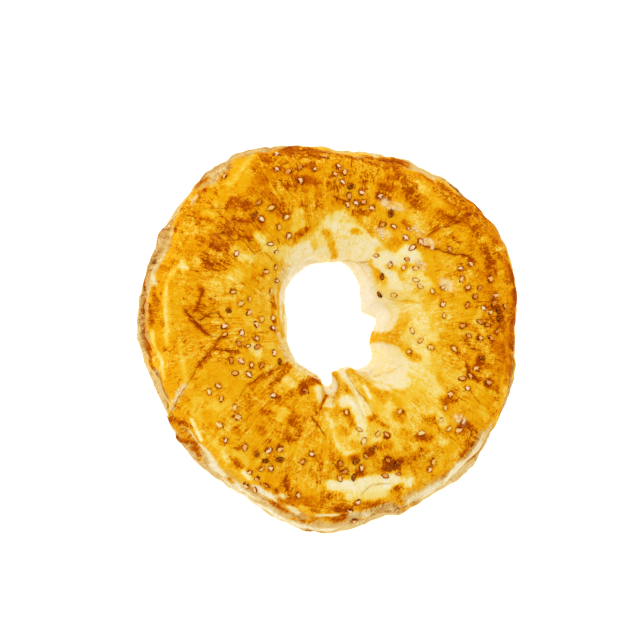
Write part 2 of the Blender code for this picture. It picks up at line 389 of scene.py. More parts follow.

# The width, depth and darkness of each crease, whose dark line is partly scorching and partly painted
# shade, and then the places of its route.
CREASES = from_rows(
    Crease,
    (0.9, 0.4, 0.65, (224, 334), (218, 338), (214, 347), (208, 353), (202, 360), (196, 367), (193, 377),
        (188, 384), (184, 392), (179, 402), (174, 411)),
    (0.8, 0.14, 1.0, (214, 349), (225, 350), (235, 351)),
    (0.9, 0.17, 1.0, (184, 310), (189, 316), (195, 320), (200, 318), (206, 315), (211, 312)),
    (0.9, 0.17, 1.0, (195, 320), (199, 327), (204, 332), (210, 334)),
    (0.8, 0.11, 0.8, (211, 312), (218, 312), (222, 318)),
    (0.8, 0.09, 0.68, (202, 290), (199, 300), (196, 308)),
    (1.0, 0.14, 0.51, (240, 393), (247, 385), (256, 378), (266, 373), (275, 369), (284, 364)),
    (0.8, 0.1, 0.62, (212, 235), (228, 233), (241, 236), (250, 240)),
    (0.8, 0.1, 0.5, (230, 240), (240, 240), (247, 245), (251, 251)),
    (0.8, 0.09, 0.45, (208, 208), (217, 209), (226, 209)),
    (0.8, 0.09, 0.91, (233, 221), (242, 223), (251, 223)),
    (0.9, 0.2, 1.0, (429, 234), (433, 231), (441, 227), (450, 225), (459, 222), (463, 216), (470, 214)),
    (0.9, 0.2, 1.0, (425, 246), (430, 249), (439, 249), (447, 253), (457, 254), (469, 256)),
    (0.8, 0.14, 0.35, (466, 338), (470, 344), (476, 349), (481, 353)),
    (0.9, 0.11, 1.0, (468, 363), (470, 371), (475, 377)),
    (0.8, 0.11, 0.45, (470, 391), (474, 397), (478, 402)),
    (0.8, 0.1, 0.3, (266, 255), (275, 262), (281, 268)),
    (0.8, 0.11, 0.8, (336, 197), (341, 199), (345, 201)),
    (0.8, 0.07, 0.34, (347, 259), (358, 262), (369, 261)),
    (0.7, 0.15, 0.7, (329, 390), (325, 399), (321, 407)),
    (1.0, 0.5, 0.0, (341, 371), (350, 381), (357, 393), (361, 406)),
    (1.0, 0.35, 0.12, (366, 375), (373, 368), (380, 365), (391, 365), (400, 364)),
    (0.9, 0.3, 0.25, (362, 491), (371, 486), (380, 484), (387, 484)),
    (0.8, 0.07, 0.25, (391, 300), (399, 302), (408, 301), (418, 303)),
    (0.8, 0.14, 1.0, (314, 421), (319, 427), (323, 433)),
    (0.8, 0.09, 0.8, (335, 466), (340, 470), (346, 474)),
    (0.8, 0.14, 0.5, (322, 520), (334, 521), (344, 517), (351, 510)),
    (0.7, 0.15, 0.39, (346, 370), (354, 382), (362, 393), (370, 405), (374, 413)),
    (0.7, 0.1, 0.34, (336, 378), (335, 390), (333, 402)),
)

# The patches of each part of the crust: bake and width, and then the places of the route.
BROAD_FIELDS = from_rows(
    Stroke,
    (AMBER, 6.5, (270, 165), (300, 170), (330, 170), (360, 172), (390, 176)),
    (AMBER, 4.0, (268, 205), (284, 210)), (AMBER, 7.0, (410, 185), (440, 205), (462, 225), (478, 250)),
    (GOLD, 5.0, (430, 265), (445, 280), (455, 300)),
    (AMBER, 6.0, (484, 280), (490, 310), (492, 340), (488, 370)),
    (GOLD, 7.0, (470, 395), (455, 420), (435, 440), (410, 450)),
    (YELLOW, 6.0, (440, 380), (425, 400), (405, 420), (395, 435)),
    (YELLOW, 7.5, (396, 300), (412, 312), (424, 330), (428, 352), (418, 374), (402, 388)),
    (YELLOW, 5.0, (335, 430), (350, 440), (368, 438), (384, 430)),
    (GOLD, 6.0, (300, 455), (300, 470), (320, 480)),
    (GOLD, 7.0, (215, 400), (220, 420), (230, 445), (245, 470)),
    (AMBER, 5.0, (255, 405), (270, 415), (285, 425), (300, 425)),
    (GOLD, 6.0, (170, 290), (178, 320), (180, 350), (190, 375)),
    (GOLD, 6.0, (225, 285), (240, 300), (245, 330), (240, 360)),
    (AMBER, 6.0, (190, 205), (200, 230), (215, 255), (230, 215)),
    (GOLD, 3.5, (240, 165), (240, 180), (225, 185)),
)

# Patches of the outer side, by turn and side in degrees. The dark ones near the outermost line are partly
# browning and partly painted shade of its scallops.
RIMS = from_rows(
    Stroke,
    (ORANGE, 2.6, (-16, 34), (0, 36), (14, 38), (28, 40), (44, 38), (58, 38)),
    (BROWN, 3.0, (-14, 24), (0, 25), (14, 27), (22, 29)), (ORANGE, 2.4, (24, 30), (36, 28), (54, 26)),
    (RUST, 1.6, (-26, 20), (-14, 20), (-4, 16)), (TAN, 1.8, (-31, 15), (-24, 16), (-17, 13)),
    (TAN, 1.3, (24, 22), (30, 21), (36, 20)), (DARK, 1.1, (2, 18), (12, 19)),
    (DARK, 1.2, (39, 20), (46, 21)), (DARK, 1.1, (8, 27), (19, 28)), (TAN, 1.6, (-22, 6), (-14, 6)),
    (FAWN, 1.8, (57, 20), (62, 24), (65, 30)), (BROWN, 1.2, (65, 17), (70, 20), (78, 22)),
    (RUST, 1.5, (42, 9), (48, 10), (53, 12)),
    (ORANGE, 3.0, (67, 38), (74, 41), (84, 42), (94, 42), (106, 40)), (DARK, 1.6, (66, 25), (74, 27)),
    (BROWN, 0.8, (76, 30), (84, 34)), (TAN, 0.9, (80, 33), (83, 34)), (TAN, 1.3, (86, 31), (92, 30)),
    (BROWN, 2.8, (93, 36), (100, 33), (105, 30)), (DARK, 1.4, (100, 24), (103, 24)),
    (TAN, 2.4, (112, 14), (118, 18), (126, 18), (133, 20)), (FAWN, 0.9, (112, 30), (118, 30), (122, 26)),
    (FAWN, 1.0, (124, 31), (129, 30), (133, 30)), (TAN, 1.6, (134, 14), (138, 10)),
    (BROWN, 0.9, (131, 31), (134, 28)), (TAN, 3.2, (145, 15), (153, 17), (160, 17), (165, 17)),
    (FAWN, 0.9, (150, 28), (157, 27)), (RUST, 1.5, (156, 8), (164, 8), (172, 8), (180, 7), (187, 6)),
    (TAN, 2.3, (156, 14), (166, 15), (176, 15), (186, 16)), (FAWN, 1.0, (157, 26), (163, 26), (168, 28)),
    (BROWN, 0.8, (150, 9), (157, 8)), (BROWN, 1.2, (187, 8), (191, 9), (194, 11)),
    (AMBER, 1.1, (212, 20), (220, 22), (227, 20)), (RUST, 1.5, (213, 9), (222, 6), (229, 6)),
    (ORANGE, 0.8, (222, 32), (227, 27)), (RAW, 1.6, (226, 24), (232, 22), (240, 20)),
    (DARK, 0.6, (166, 10), (169, 11)), (DARK, 0.6, (173, 11), (177, 11)),
    (DARK, 0.6, (181, 11), (188, 12)), (BROWN, 0.9, (191, 14), (195, 15)),
    (RUST, 1.8, (196, 18), (200, 20), (204, 22)), (FAWN, 2.4, (-64, 0), (-50, 0), (-34, 0), (-22, 2)),
    (FAWN, 2.6, (-62, -2), (-80, -2), (-96, -2), (-112, 0), (-126, 0), (-140, 2)),
    (FAWN, 2.0, (275, 1), (284, 1), (293, 3)), (RUST, 1.3, (261, 1), (268, 1)),
    (RUST, 1.8, (206, 2), (220, 0)), (FAWN, 2.2, (222, 0), (232, 0), (240, 0)),
)

NORTH = from_rows(
    Stroke,
    (BROWN, 2.6, (284, 153), (296, 153), (306, 155), (314, 157)),
    (ORANGE, 2.4, (262, 158), (264, 170), (262, 180)),
    (ORANGE, 3.2, (264, 184), (278, 182), (292, 183), (304, 186)), (BROWN, 1.5, (286, 186), (294, 186)),
    (ORANGE, 2.4, (268, 194), (276, 202), (283, 211)), (ORANGE, 1.8, (303, 204), (312, 208)),
    (ORANGE, 1.2, (318, 190), (322, 200), (322, 208)), (ORANGE, 1.6, (330, 186), (338, 184)),
    (BROWN, 1.9, (296, 177), (306, 180), (316, 182)), (AMBER, 2.0, (300, 161), (312, 162)),
    (AMBER, 2.0, (324, 164), (336, 166)), (YELLOW, 2.4, (296, 216), (300, 224), (290, 240)),
    (GOLD, 2.2, (310, 214), (316, 222)), (BROWN, 1.5, (298, 236), (303, 233), (307, 231)),
    (AMBER, 2.0, (286, 238), (296, 240)), (ORANGE, 1.5, (344, 204), (356, 208), (364, 212)),
    (AMBER, 2.0, (336, 202), (348, 205), (360, 202)), (BROWN, 0.9, (364, 212), (366, 214)),
    (AMBER, 2.0, (262, 222), (264, 240)), (YELLOW, 1.9, (264, 261), (272, 263), (278, 267)),
    (PALE, 2.5, (330, 221), (340, 218), (350, 225), (362, 237)),
    (PALE, 2.4, (312, 246), (322, 238), (328, 226)),
    (CREAM, 4.4, (332, 246), (346, 248), (360, 248), (374, 250)),
    (CREAM, 2.6, (338, 230), (350, 232), (362, 237), (372, 244)), (PALE, 1.8, (318, 236), (321, 250)),
    (GOLD, 1.8, (283, 231), (288, 238)),
    (CREAM, 3.4, (290, 256), (302, 250), (316, 252), (330, 258), (350, 258)),
    (RAW, 1.3, (292, 268), (300, 264), (312, 262), (326, 260), (342, 259), (352, 262)),
    (PALE, 2.2, (268, 248), (278, 252), (288, 250)), (GOLD, 1.2, (326, 234), (331, 242), (334, 254)),
    (GOLD, 1.3, (354, 232), (358, 232)), (YELLOW, 1.2, (314, 243), (315, 247)),
    (GOLD, 1.8, (368, 222), (374, 232)), (YELLOW, 1.8, (380, 250), (386, 258)),
    (GOLD, 1.8, (374, 264), (376, 270)),
)

NORTH_EAST = from_rows(
    Stroke,
    (BROWN, 1.9, (384, 166), (394, 166), (402, 172)), (ORANGE, 2.4, (404, 178), (414, 186)),
    (BROWN, 1.6, (394, 176), (402, 180)), (DARK, 1.9, (384, 188), (391, 187)),
    (BROWN, 1.6, (380, 196), (388, 198)), (BROWN, 1.0, (390, 176), (388, 184)),
    (BROWN, 2.3, (406, 186), (412, 197), (418, 208)), (DARK, 1.0, (419, 208), (421, 212)),
    (PALE, 0.8, (420, 180), (424, 186), (422, 190)), (GOLD, 2.4, (398, 204), (402, 214), (410, 222)),
    (GOLD, 2.4, (428, 188), (436, 196), (440, 204)),
    (ORANGE, 3.0, (440, 190), (452, 200), (466, 216), (476, 232)),
    (BROWN, 2.4, (484, 250), (490, 262), (494, 272)), (AMBER, 2.0, (472, 248), (480, 258)),
    (BROWN, 1.7, (464, 204), (472, 212)), (ORANGE, 2.2, (494, 244), (498, 254)),
    (BROWN, 1.6, (440, 212), (448, 216), (456, 219)), (BROWN, 1.1, (404, 222), (408, 228)),
    (BROWN, 1.2, (454, 240), (459, 242)), (GOLD, 2.4, (430, 222), (420, 218)),
    (GOLD, 3.2, (436, 258), (448, 262), (456, 270)), (GOLD, 2.4, (456, 230), (462, 238)),
    (CREAM, 2.7, (380, 262), (388, 257), (398, 259), (408, 252), (415, 258)),
    (CREAM, 3.0, (392, 262), (388, 274), (396, 284)), (PALE, 3.0, (410, 284), (414, 274), (424, 284)),
    (YELLOW, 1.2, (388, 267), (396, 268)), (GOLD, 1.8, (376, 274), (382, 280)),
    (AMBER, 1.2, (393, 241), (397, 243)),
)

EAST = from_rows(
    Stroke,
    (CREAM, 2.6, (388, 300), (392, 316), (388, 326)), (PALE, 3.2, (404, 296), (412, 306), (420, 318)),
    (PALE, 3.0, (424, 326), (432, 340), (428, 352)), (PALE, 1.8, (416, 346), (424, 353), (427, 361)),
    (PALE, 3.2, (412, 366), (424, 376), (436, 390)), (PALE, 3.0, (400, 330), (410, 334), (418, 340)),
    (GOLD, 2.4, (370, 338), (384, 338), (396, 335), (402, 327)),
    (GOLD, 1.2, (400, 352), (408, 356), (418, 358)), (YELLOW, 0.7, (400, 308), (406, 303), (414, 302)),
    (GOLD, 2.8, (446, 322), (450, 334), (446, 344), (438, 352)),
    (YELLOW, 1.6, (436, 304), (442, 308), (448, 312)), (GOLD, 2.6, (458, 318), (462, 330), (468, 334)),
    (GOLD, 1.8, (432, 346), (440, 356), (446, 366)), (YELLOW, 1.5, (435, 357), (442, 363)),
    (GOLD, 3.0, (444, 376), (456, 386), (466, 396)), (YELLOW, 2.4, (448, 372), (456, 376), (446, 366)),
    (YELLOW, 2.4, (434, 312), (442, 318), (438, 326)), (CREAM, 1.8, (378, 384), (384, 386), (389, 389)),
    (PALE, 2.4, (378, 288), (386, 292), (392, 298)), (YELLOW, 1.8, (464, 330), (470, 334)),
    (GOLD, 1.5, (395, 388), (402, 392)), (CREAM, 2.8, (378, 372), (388, 377)),
    (CREAM, 2.2, (380, 302), (388, 308)), (PALE, 1.6, (395, 304), (403, 308)),
    (ORANGE, 1.6, (461, 353), (466, 356)), (ORANGE, 2.1, (480, 272), (489, 281), (488, 292)),
    (BROWN, 1.8, (494, 300), (502, 318), (504, 330)), (GOLD, 2.2, (470, 300), (478, 290)),
    (ORANGE, 2.8, (498, 340), (500, 356), (498, 372)), (BROWN, 1.2, (504, 344), (504, 362)),
    (BROWN, 1.6, (486, 380), (496, 388)), (BROWN, 0.9, (469, 366), (471, 374), (479, 380)),
    (DARK, 0.6, (478, 360), (480, 363)), (AMBER, 0.6, (466, 338), (471, 345), (477, 350)),
    (GOLD, 2.4, (462, 320), (468, 300)), (YELLOW, 1.2, (482, 308), (478, 320), (484, 332)),
    (CREAM, 3.6, (372, 354), (382, 364), (393, 372), (400, 382)),
    (CREAM, 3.0, (388, 352), (398, 358), (402, 368)),
)

SOUTH_EAST = from_rows(
    Stroke,
    (GOLD, 3.0, (470, 396), (478, 410)), (PALE, 2.6, (386, 410), (394, 400), (396, 420)),
    (YELLOW, 1.8, (420, 394), (428, 398)), (YELLOW, 1.7, (410, 424), (416, 432), (412, 440)),
    (YELLOW, 1.2, (436, 440), (446, 442)), (PALE, 1.6, (438, 416), (444, 424)),
    (YELLOW, 1.4, (480, 410), (484, 418)), (ORANGE, 1.9, (444, 400), (454, 398)),
    (ORANGE, 1.4, (424, 418), (430, 422)), (BROWN, 0.8, (402, 412), (404, 417)),
    (AMBER, 1.6, (404, 432), (412, 440)), (BROWN, 1.3, (418, 437), (428, 437)),
    (BROWN, 1.6, (460, 428), (470, 430), (474, 436)), (BROWN, 1.7, (464, 452), (472, 448), (466, 444)),
    (DARK, 1.0, (462, 421), (468, 424)), (ORANGE, 2.0, (404, 466), (414, 460), (422, 452)),
    (BROWN, 2.2, (388, 462), (396, 470)), (DARK, 1.5, (386, 470), (394, 466), (404, 462)),
    (GOLD, 2.4, (430, 470), (440, 462), (452, 452)), (CREAM, 1.5, (388, 484), (400, 483), (410, 481)),
    (ORANGE, 0.6, (391, 487), (401, 485)), (GOLD, 1.0, (411, 486), (416, 480)),
    (GOLD, 1.4, (388, 496), (396, 498)),
    (RAW, 2.8, (458, 468), (448, 478), (440, 484), (426, 492), (412, 499)),
    (TAN, 2.6, (412, 502), (398, 508), (384, 513), (368, 519), (350, 524)),
    (RUST, 1.0, (404, 505), (384, 514), (366, 520)),
    (RAW, 2.5, (484, 436), (474, 452), (462, 466), (452, 474)),
    (FAWN, 1.5, (490, 426), (487, 431), (484, 436)), (TAN, 0.9, (480, 432), (474, 444), (466, 458)),
    (GOLD, 0.9, (402, 507), (412, 501)), (DARK, 0.5, (483, 444), (478, 454), (470, 464)),
)

SOUTH = from_rows(
    Stroke,
    (RAW, 2.0, (226, 484), (240, 494), (256, 505), (272, 514), (288, 521), (304, 526), (320, 530),
        (336, 529)),
    (RAW, 1.6, (256, 488), (264, 494), (276, 499), (284, 496)), (RAW, 1.2, (288, 505), (296, 512)),
    (RAW, 0.8, (318, 516), (330, 517), (342, 514)), (FAWN, 1.6, (350, 515), (360, 514), (370, 512)),
    (BROWN, 1.3, (284, 483), (289, 489)), (BROWN, 1.5, (290, 496), (298, 503)),
    (BROWN, 1.3, (271, 503), (277, 508), (284, 511)), (ORANGE, 1.9, (280, 500), (292, 501)),
    (BROWN, 1.7, (308, 502), (320, 504), (334, 506)),
    (ORANGE, 1.8, (304, 498), (318, 499), (332, 500), (342, 500)), (DARK, 0.9, (313, 509), (318, 512)),
    (DARK, 1.3, (336, 509), (342, 508), (347, 505)), (BROWN, 1.0, (341, 514), (345, 518)),
    (BROWN, 0.9, (302, 521), (308, 522), (314, 519)), (ORANGE, 0.7, (325, 522), (336, 522), (343, 520)),
    (ORANGE, 0.7, (290, 518), (298, 519)), (BROWN, 2.0, (362, 503), (374, 502), (384, 500), (394, 497)),
    (AMBER, 1.5, (392, 500), (402, 502)), (ORANGE, 1.2, (354, 502), (362, 504)),
    (GOLD, 1.4, (384, 498), (392, 494)), (YELLOW, 0.9, (302, 506), (308, 507)),
    (GOLD, 2.4, (296, 470), (310, 486), (330, 490)), (AMBER, 1.8, (320, 495), (335, 497)),
    (ORANGE, 1.1, (318, 456), (320, 470), (318, 482)), (AMBER, 1.8, (330, 456), (338, 462), (340, 470)),
    (CREAM, 2.0, (330, 485), (346, 487), (364, 489), (382, 489)),
    (CREAM, 1.5, (344, 483), (364, 482), (382, 480), (398, 478)),
    (PALE, 1.4, (350, 494), (366, 495), (382, 492)),
    (ORANGE, 2.4, (277, 400), (284, 408), (292, 418), (298, 434)), (GOLD, 2.0, (256, 444), (262, 448)),
    (BROWN, 1.0, (262, 412), (268, 412)), (ORANGE, 1.5, (258, 428), (262, 432)),
    (BROWN, 1.3, (293, 421), (297, 427)), (BROWN, 1.3, (286, 438), (296, 437)),
    (YELLOW, 1.4, (276, 408), (286, 411), (280, 418)), (ORANGE, 1.6, (288, 394), (296, 388)),
    (BROWN, 2.0, (300, 386), (308, 382), (316, 379)), (DARK, 1.0, (303, 392), (306, 387)),
    (DARK, 1.0, (314, 380), (319, 383)), (PALE, 1.8, (286, 378), (293, 383)),
    (BROWN, 1.3, (287, 367), (279, 377), (271, 386)), (ORANGE, 0.9, (315, 402), (315, 412), (313, 418)),
    (GOLD, 1.6, (326, 404), (332, 414)), (GOLD, 2.4, (292, 456), (300, 446)),
)

PLEATS = from_rows(
    Stroke,
    (GOLD, 1.7, (337, 374), (339, 384), (341, 394)), (AMBER, 1.3, (344, 386), (348, 394)),
    (CREAM, 1.4, (318, 388), (320, 397), (325, 401)), (CREAM, 1.4, (333, 386), (331, 396), (330, 404)),
    (PALE, 0.5, (335, 378), (334, 390), (332, 400)), (ORANGE, 0.5, (329, 390), (325, 398), (321, 406)),
    (CREAM, 1.4, (343, 372), (349, 379), (355, 388), (360, 397)), (CREAM, 0.8, (338, 370), (344, 376)),
    (CREAM, 2.4, (344, 402), (352, 400), (360, 402), (367, 408)),
    (CREAM, 2.2, (356, 408), (360, 416), (361, 424)),
    (GOLD, 1.6, (350, 369), (358, 375), (366, 382), (374, 391), (382, 400)),
    # the thin cream patch at the end of the next row is a painted highlight along a pleat's ridge
    (YELLOW, 1.7, (374, 398), (380, 408), (378, 416)), (CREAM, 0.6, (364, 384), (367, 390), (370, 397)),
    (ORANGE, 1.4, (343, 414), (349, 417), (352, 424)),
    (PALE, 0.7, (326, 412), (331, 424), (333, 436), (338, 446), (344, 452)),
    (PALE, 0.8, (344, 452), (354, 453)), (PALE, 1.7, (342, 430), (352, 436), (362, 434)),
    (GOLD, 1.4, (322, 424), (328, 434), (330, 444)), (GOLD, 1.0, (352, 442), (360, 446)),
    (GOLD, 1.9, (388, 396), (398, 402), (396, 410)), (BROWN, 0.8, (371, 419), (375, 416)),
    (ORANGE, 0.6, (378, 421), (388, 426)), (BROWN, 1.3, (366, 448), (370, 454)),
    (BROWN, 1.2, (350, 458), (356, 456)), (DARK, 1.0, (360, 472), (364, 476)),
    (DARK, 0.9, (386, 438), (388, 436)), (ORANGE, 1.8, (379, 446), (388, 444)),
    (AMBER, 1.8, (396, 416), (402, 419)), (GOLD, 1.6, (338, 428), (346, 432)),
)

SOUTH_WEST = from_rows(
    Stroke,
    (RAW, 0.8, (186, 385), (182, 391), (177, 399), (173, 407)),
    (BROWN, 1.4, (172, 418), (178, 419), (184, 423)), (ORANGE, 1.2, (186, 440), (190, 447), (195, 454)),
    (BROWN, 1.1, (180, 436), (185, 442)), (RAW, 0.4, (187, 431), (191, 438), (193, 444)),
    (BROWN, 1.4, (189, 450), (195, 457), (201, 466)), (TAN, 0.9, (199, 455), (203, 460), (206, 465)),
    (CREAM, 0.9, (192, 418), (196, 428), (199, 438)), (PALE, 0.9, (223, 450), (227, 460)),
    (CREAM, 1.2, (242, 472), (248, 478)), (YELLOW, 2.1, (208, 402), (218, 406), (228, 404)),
    (RAW, 1.5, (201, 449), (208, 457), (218, 468), (230, 479), (242, 490), (252, 498)),
    (ORANGE, 0.9, (229, 477), (231, 480)), (YELLOW, 1.6, (212, 440), (222, 446)),
    (YELLOW, 1.5, (236, 452), (246, 462)), (YELLOW, 1.8, (200, 400), (196, 410), (200, 420)),
    (ORANGE, 0.9, (205, 428), (212, 426)), (ORANGE, 1.4, (236, 430), (240, 432)),
    (ORANGE, 1.3, (234, 458), (240, 464)), (BROWN, 0.6, (236, 448), (240, 447)),
)

WEST = from_rows(
    Stroke,
    (FAWN, 0.9, (157, 262), (154, 275), (150, 290), (147, 304), (147, 312)),
    (PALE, 1.0, (150, 334), (153, 349), (158, 363), (163, 378)), (ORANGE, 1.0, (155, 287), (156, 302)),
    (ORANGE, 0.9, (151, 308), (150, 318), (149, 326)), (BROWN, 0.8, (143, 346), (146, 353)),
    (YELLOW, 1.5, (175, 270), (169, 282), (166, 295), (167, 310), (166, 325), (165, 342)),
    # the thin pale patch on the next row is a painted highlight along the left side of the roll
    (PALE, 0.6, (167, 286), (166, 300), (166, 318), (165, 340)),
    (YELLOW, 0.9, (178, 340), (180, 352), (182, 366), (186, 380)), (CREAM, 1.3, (178, 265), (186, 268)),
    (RAW, 0.9, (154, 277), (156, 284)), (AMBER, 1.0, (171, 283), (172, 287)),
    (ORANGE, 1.2, (200, 285), (203, 298), (197, 308)), (BROWN, 0.7, (202, 292), (201, 298)),
    (ORANGE, 1.4, (206, 298), (213, 301)), (ORANGE, 1.9, (186, 310), (194, 308), (202, 306)),
    (BROWN, 0.8, (188, 316), (193, 321), (197, 326)), (ORANGE, 0.8, (200, 326), (205, 332), (210, 335)),
    (AMBER, 1.5, (184, 330), (188, 331)), (AMBER, 1.5, (184, 348), (188, 348)),
    (DARK, 0.8, (210, 353), (205, 358), (200, 365)), (ORANGE, 0.7, (221, 337), (215, 343), (210, 350)),
    (ORANGE, 0.9, (214, 350), (226, 350), (238, 352)), (AMBER, 1.5, (222, 358), (226, 362)),
    (ORANGE, 1.3, (250, 387), (256, 381), (264, 376), (270, 373)), (GOLD, 2.0, (238, 388), (246, 391)),
    (YELLOW, 2.2, (220, 282), (228, 279), (238, 274)), (PALE, 1.8, (252, 346), (258, 352)),
    (YELLOW, 1.8, (248, 318), (254, 326)), (BROWN, 1.0, (276, 298), (277, 306)),
    (YELLOW, 1.4, (271, 318), (273, 326)), (ORANGE, 1.4, (274, 299), (275, 312), (275, 330)),
    (GOLD, 1.3, (280, 286), (280, 300), (280, 318), (281, 335)),
    (YELLOW, 0.9, (283, 305), (284, 318), (283, 334)),
)

NORTH_WEST = from_rows(
    Stroke,
    (BROWN, 1.1, (199, 193), (204, 192)), (ORANGE, 1.3, (176, 227), (184, 228)),
    (RAW, 0.5, (196, 197), (198, 195)), (GOLD, 2.8, (186, 218), (192, 232)),
    (AMBER, 2.6, (180, 246), (190, 256)), (ORANGE, 1.8, (198, 236), (200, 240)),
    (DARK, 1.6, (212, 244), (218, 246), (225, 248)), (ORANGE, 1.2, (200, 220), (210, 221), (220, 220)),
    (BROWN, 2.4, (228, 204), (238, 206), (248, 206)), (ORANGE, 2.2, (252, 192), (262, 196)),
    (AMBER, 2.2, (184, 216), (192, 224)), (AMBER, 2.4, (198, 206), (208, 205), (220, 206)),
    (AMBER, 2.0, (160, 272), (168, 266), (176, 262)), (ORANGE, 1.8, (255, 276), (262, 278)),
    (AMBER, 1.6, (158, 274), (162, 282)), (ORANGE, 3.2, (226, 230), (240, 224), (258, 228)),
    (BROWN, 0.9, (238, 236), (250, 238)), (DARK, 1.6, (204, 261), (208, 267)),
    (ORANGE, 1.3, (216, 264), (222, 263)), (YELLOW, 1.2, (204, 213), (214, 214)),
    (GOLD, 2.2, (215, 196), (222, 200)), (YELLOW, 0.9, (253, 160), (246, 168), (238, 177), (230, 187)),
    (YELLOW, 1.6, (236, 250), (246, 256), (256, 258)), (PALE, 0.8, (240, 258), (250, 261)),
    (PALE, 1.8, (258, 236), (262, 240)), (ORANGE, 2.0, (256, 166), (258, 180)),
)

ROUGH_SPOTS = from_rows(
    Stroke,
    (BARE, 1.2, (385, 202), (390, 206)), (BARE, 1.2, (395, 205), (400, 208)),
    (BARE, 1.5, (380, 231), (386, 235)), (BARE, 1.3, (414, 228), (420, 232)),
    (BARE, 1.2, (426, 242), (436, 245)), (BARE, 1.2, (420, 262), (424, 268)),
    (BARE, 1.6, (445, 282), (452, 286)), (BARE, 1.1, (289, 360), (298, 368), (308, 374), (317, 377)),
    (BARE, 0.9, (282, 352), (288, 362)), (BARE, 1.0, (277, 330), (280, 342), (284, 350)),
    (BARE, 1.2, (457, 417), (465, 420)), (BARE, 0.7, (186, 386), (181, 395)),
    (BARE, 0.6, (197, 197), (194, 202)),
)

# The patches in the order in which they are painted, with what their places are.
LAYERS = (
    (RouteKind.PIXELS, BROAD_FIELDS),
    (RouteKind.ANGLES, RIMS),
    (RouteKind.PIXELS, NORTH + NORTH_EAST + EAST + SOUTH_EAST + SOUTH + PLEATS + SOUTH_WEST + WEST
     + NORTH_WEST + ROUGH_SPOTS),
)

# The plan place, spread and number of seeds of each patch.
SEED_PATCHES = tuple(Patch(*row) for row in (
    # along the top
    (-20, 66, 5, 3), (-9, 66, 6, 2), (-15, 61, 3, 2), (3, 62, 4, 4),
    (8, 53, 4, 6), (16, 50, 3, 2), (21, 43, 3, 3),
    # upper left
    (-42, 60, 2, 1), (-29, 45, 5, 4), (-20, 40, 4, 3), (-23, 33, 3, 2),
    (-39, 28, 3, 1),
    # left
    (-26, 20, 5, 4), (-38, 9, 5, 5), (-28, 3, 4, 4), (-42, -2, 2, 2),
    (-33, -8, 5, 5), (-37, -15, 4, 4), (-30, -18, 3, 2), (-21, -12, 3, 2),
    # lower left
    (-46, -26, 4, 3), (-41, -33, 3, 2), (-42, -41, 3, 2), (-24, -27, 2, 1),
    (-12, -25, 2, 1), (-9, -46, 6, 2), (-32, -48, 3, 2), (-25, -51, 4, 6),
    (-30, -58, 4, 5), (-14, -64, 2, 1),
    # bottom
    (10, -68, 6, 3), (5, -39, 6, 3), (12, -47, 3, 3), (6, -56, 5, 6),
    (22, -53, 4, 5), (18, -44, 3, 2),
    # lower right
    (23, -32, 2, 1), (40, -33, 3, 2), (45, -38, 3, 2), (34, -42, 2, 1),
    (39, -51, 3, 2),
    # right
    (49, -22, 5, 3), (57, -15, 5, 4), (45, -8, 2, 1), (33, -4, 5, 4),
    (53, 0, 4, 3), (61, 0, 4, 4), (63, 7, 5, 6), (55, 12, 6, 4),
    (43, 8, 3, 2), (65, 14, 2, 1),
    # upper right
    (48, 22, 6, 4), (36, 20, 5, 4), (19, 19, 5, 3), (20, 28, 4, 2),
    (28, 26, 3, 2), (32, 37, 5, 3), (44, 31, 2, 1), (61, 23, 2, 1),
))

# Plan places round which the wash covers the seeds, so that they show little more than a rim.
GLAZED_PLACES = (
    (34, 2), (30, 14), (38, -12), (38, -34), (30, -32), (8, -35), (-42, -30), (-36, 32), (-18, 45),
    (-30, 10),
)

# Plan places round which the seeds are toasted browner than the rest.
TOASTED_PLACES = (
    (-17, 62), (-15, 62), (4.5, 55), (23, 46), (20, 41), (-33, 43), (-16.5, 23), (-42, 8),
    (-28.5, -8), (-21, -11), (-29, -51), (-22, -51), (44, 31), (18, 20), (20, 16), (67, 14),
    (58, 6), (66, 7), (56, -11), (54, -18.5), (59, -18), (50, -25), (20, -42), (13, -48),
    (7, -50), (9, -57), (20, -54.5), (22, -53),
)


# --- The view of the photograph ----------------------------------------------------------------
@dataclass(frozen=True)
class View:
    """Where the photograph was taken from: nearly straight above, a long way off."""

    elevation: float = 78.0         # degrees above the horizon
    azimuth: float = -38.0
    distance: float = 800.0
    target: tuple[float, float, float] = (0.0, 0.0, 14.0)
    image_pixels: int = 640
    pixel: float = 0.395            # millimetres that one pixel covers at the target
    target_pixel: tuple[float, float] = (330.0, 335.0)

    def axes(self) -> tuple[Vector, Vector, Vector]:
        """Find the camera's own directions.

        Returns:
            The directions to its right, up and backward.
        """
        rise, round_about = math.radians(self.elevation), math.radians(self.azimuth)
        back = Vector((
            math.sin(round_about) * math.cos(rise), -math.cos(round_about) * math.cos(rise),
            math.sin(rise),
        ))
        right = (-back).cross(Vector((0.0, 1.0, 0.0))).normalized()
        return right, right.cross(-back), back

    def pixels(self, points: np.ndarray) -> np.ndarray:
        """Find the pixels at which points show.

        Args:
            points: places in millimetres.

        Returns:
            How many pixels to the right and down each lies, from the upper left.
        """
        right, up, back = (np.array(axis) for axis in self.axes())
        away = points - np.array(self.target)
        nearness = self.distance / (self.distance - away @ back) / self.pixel
        column = self.target_pixel[0] + away @ right * nearness
        return np.column_stack((column, self.target_pixel[1] - away @ up * nearness))


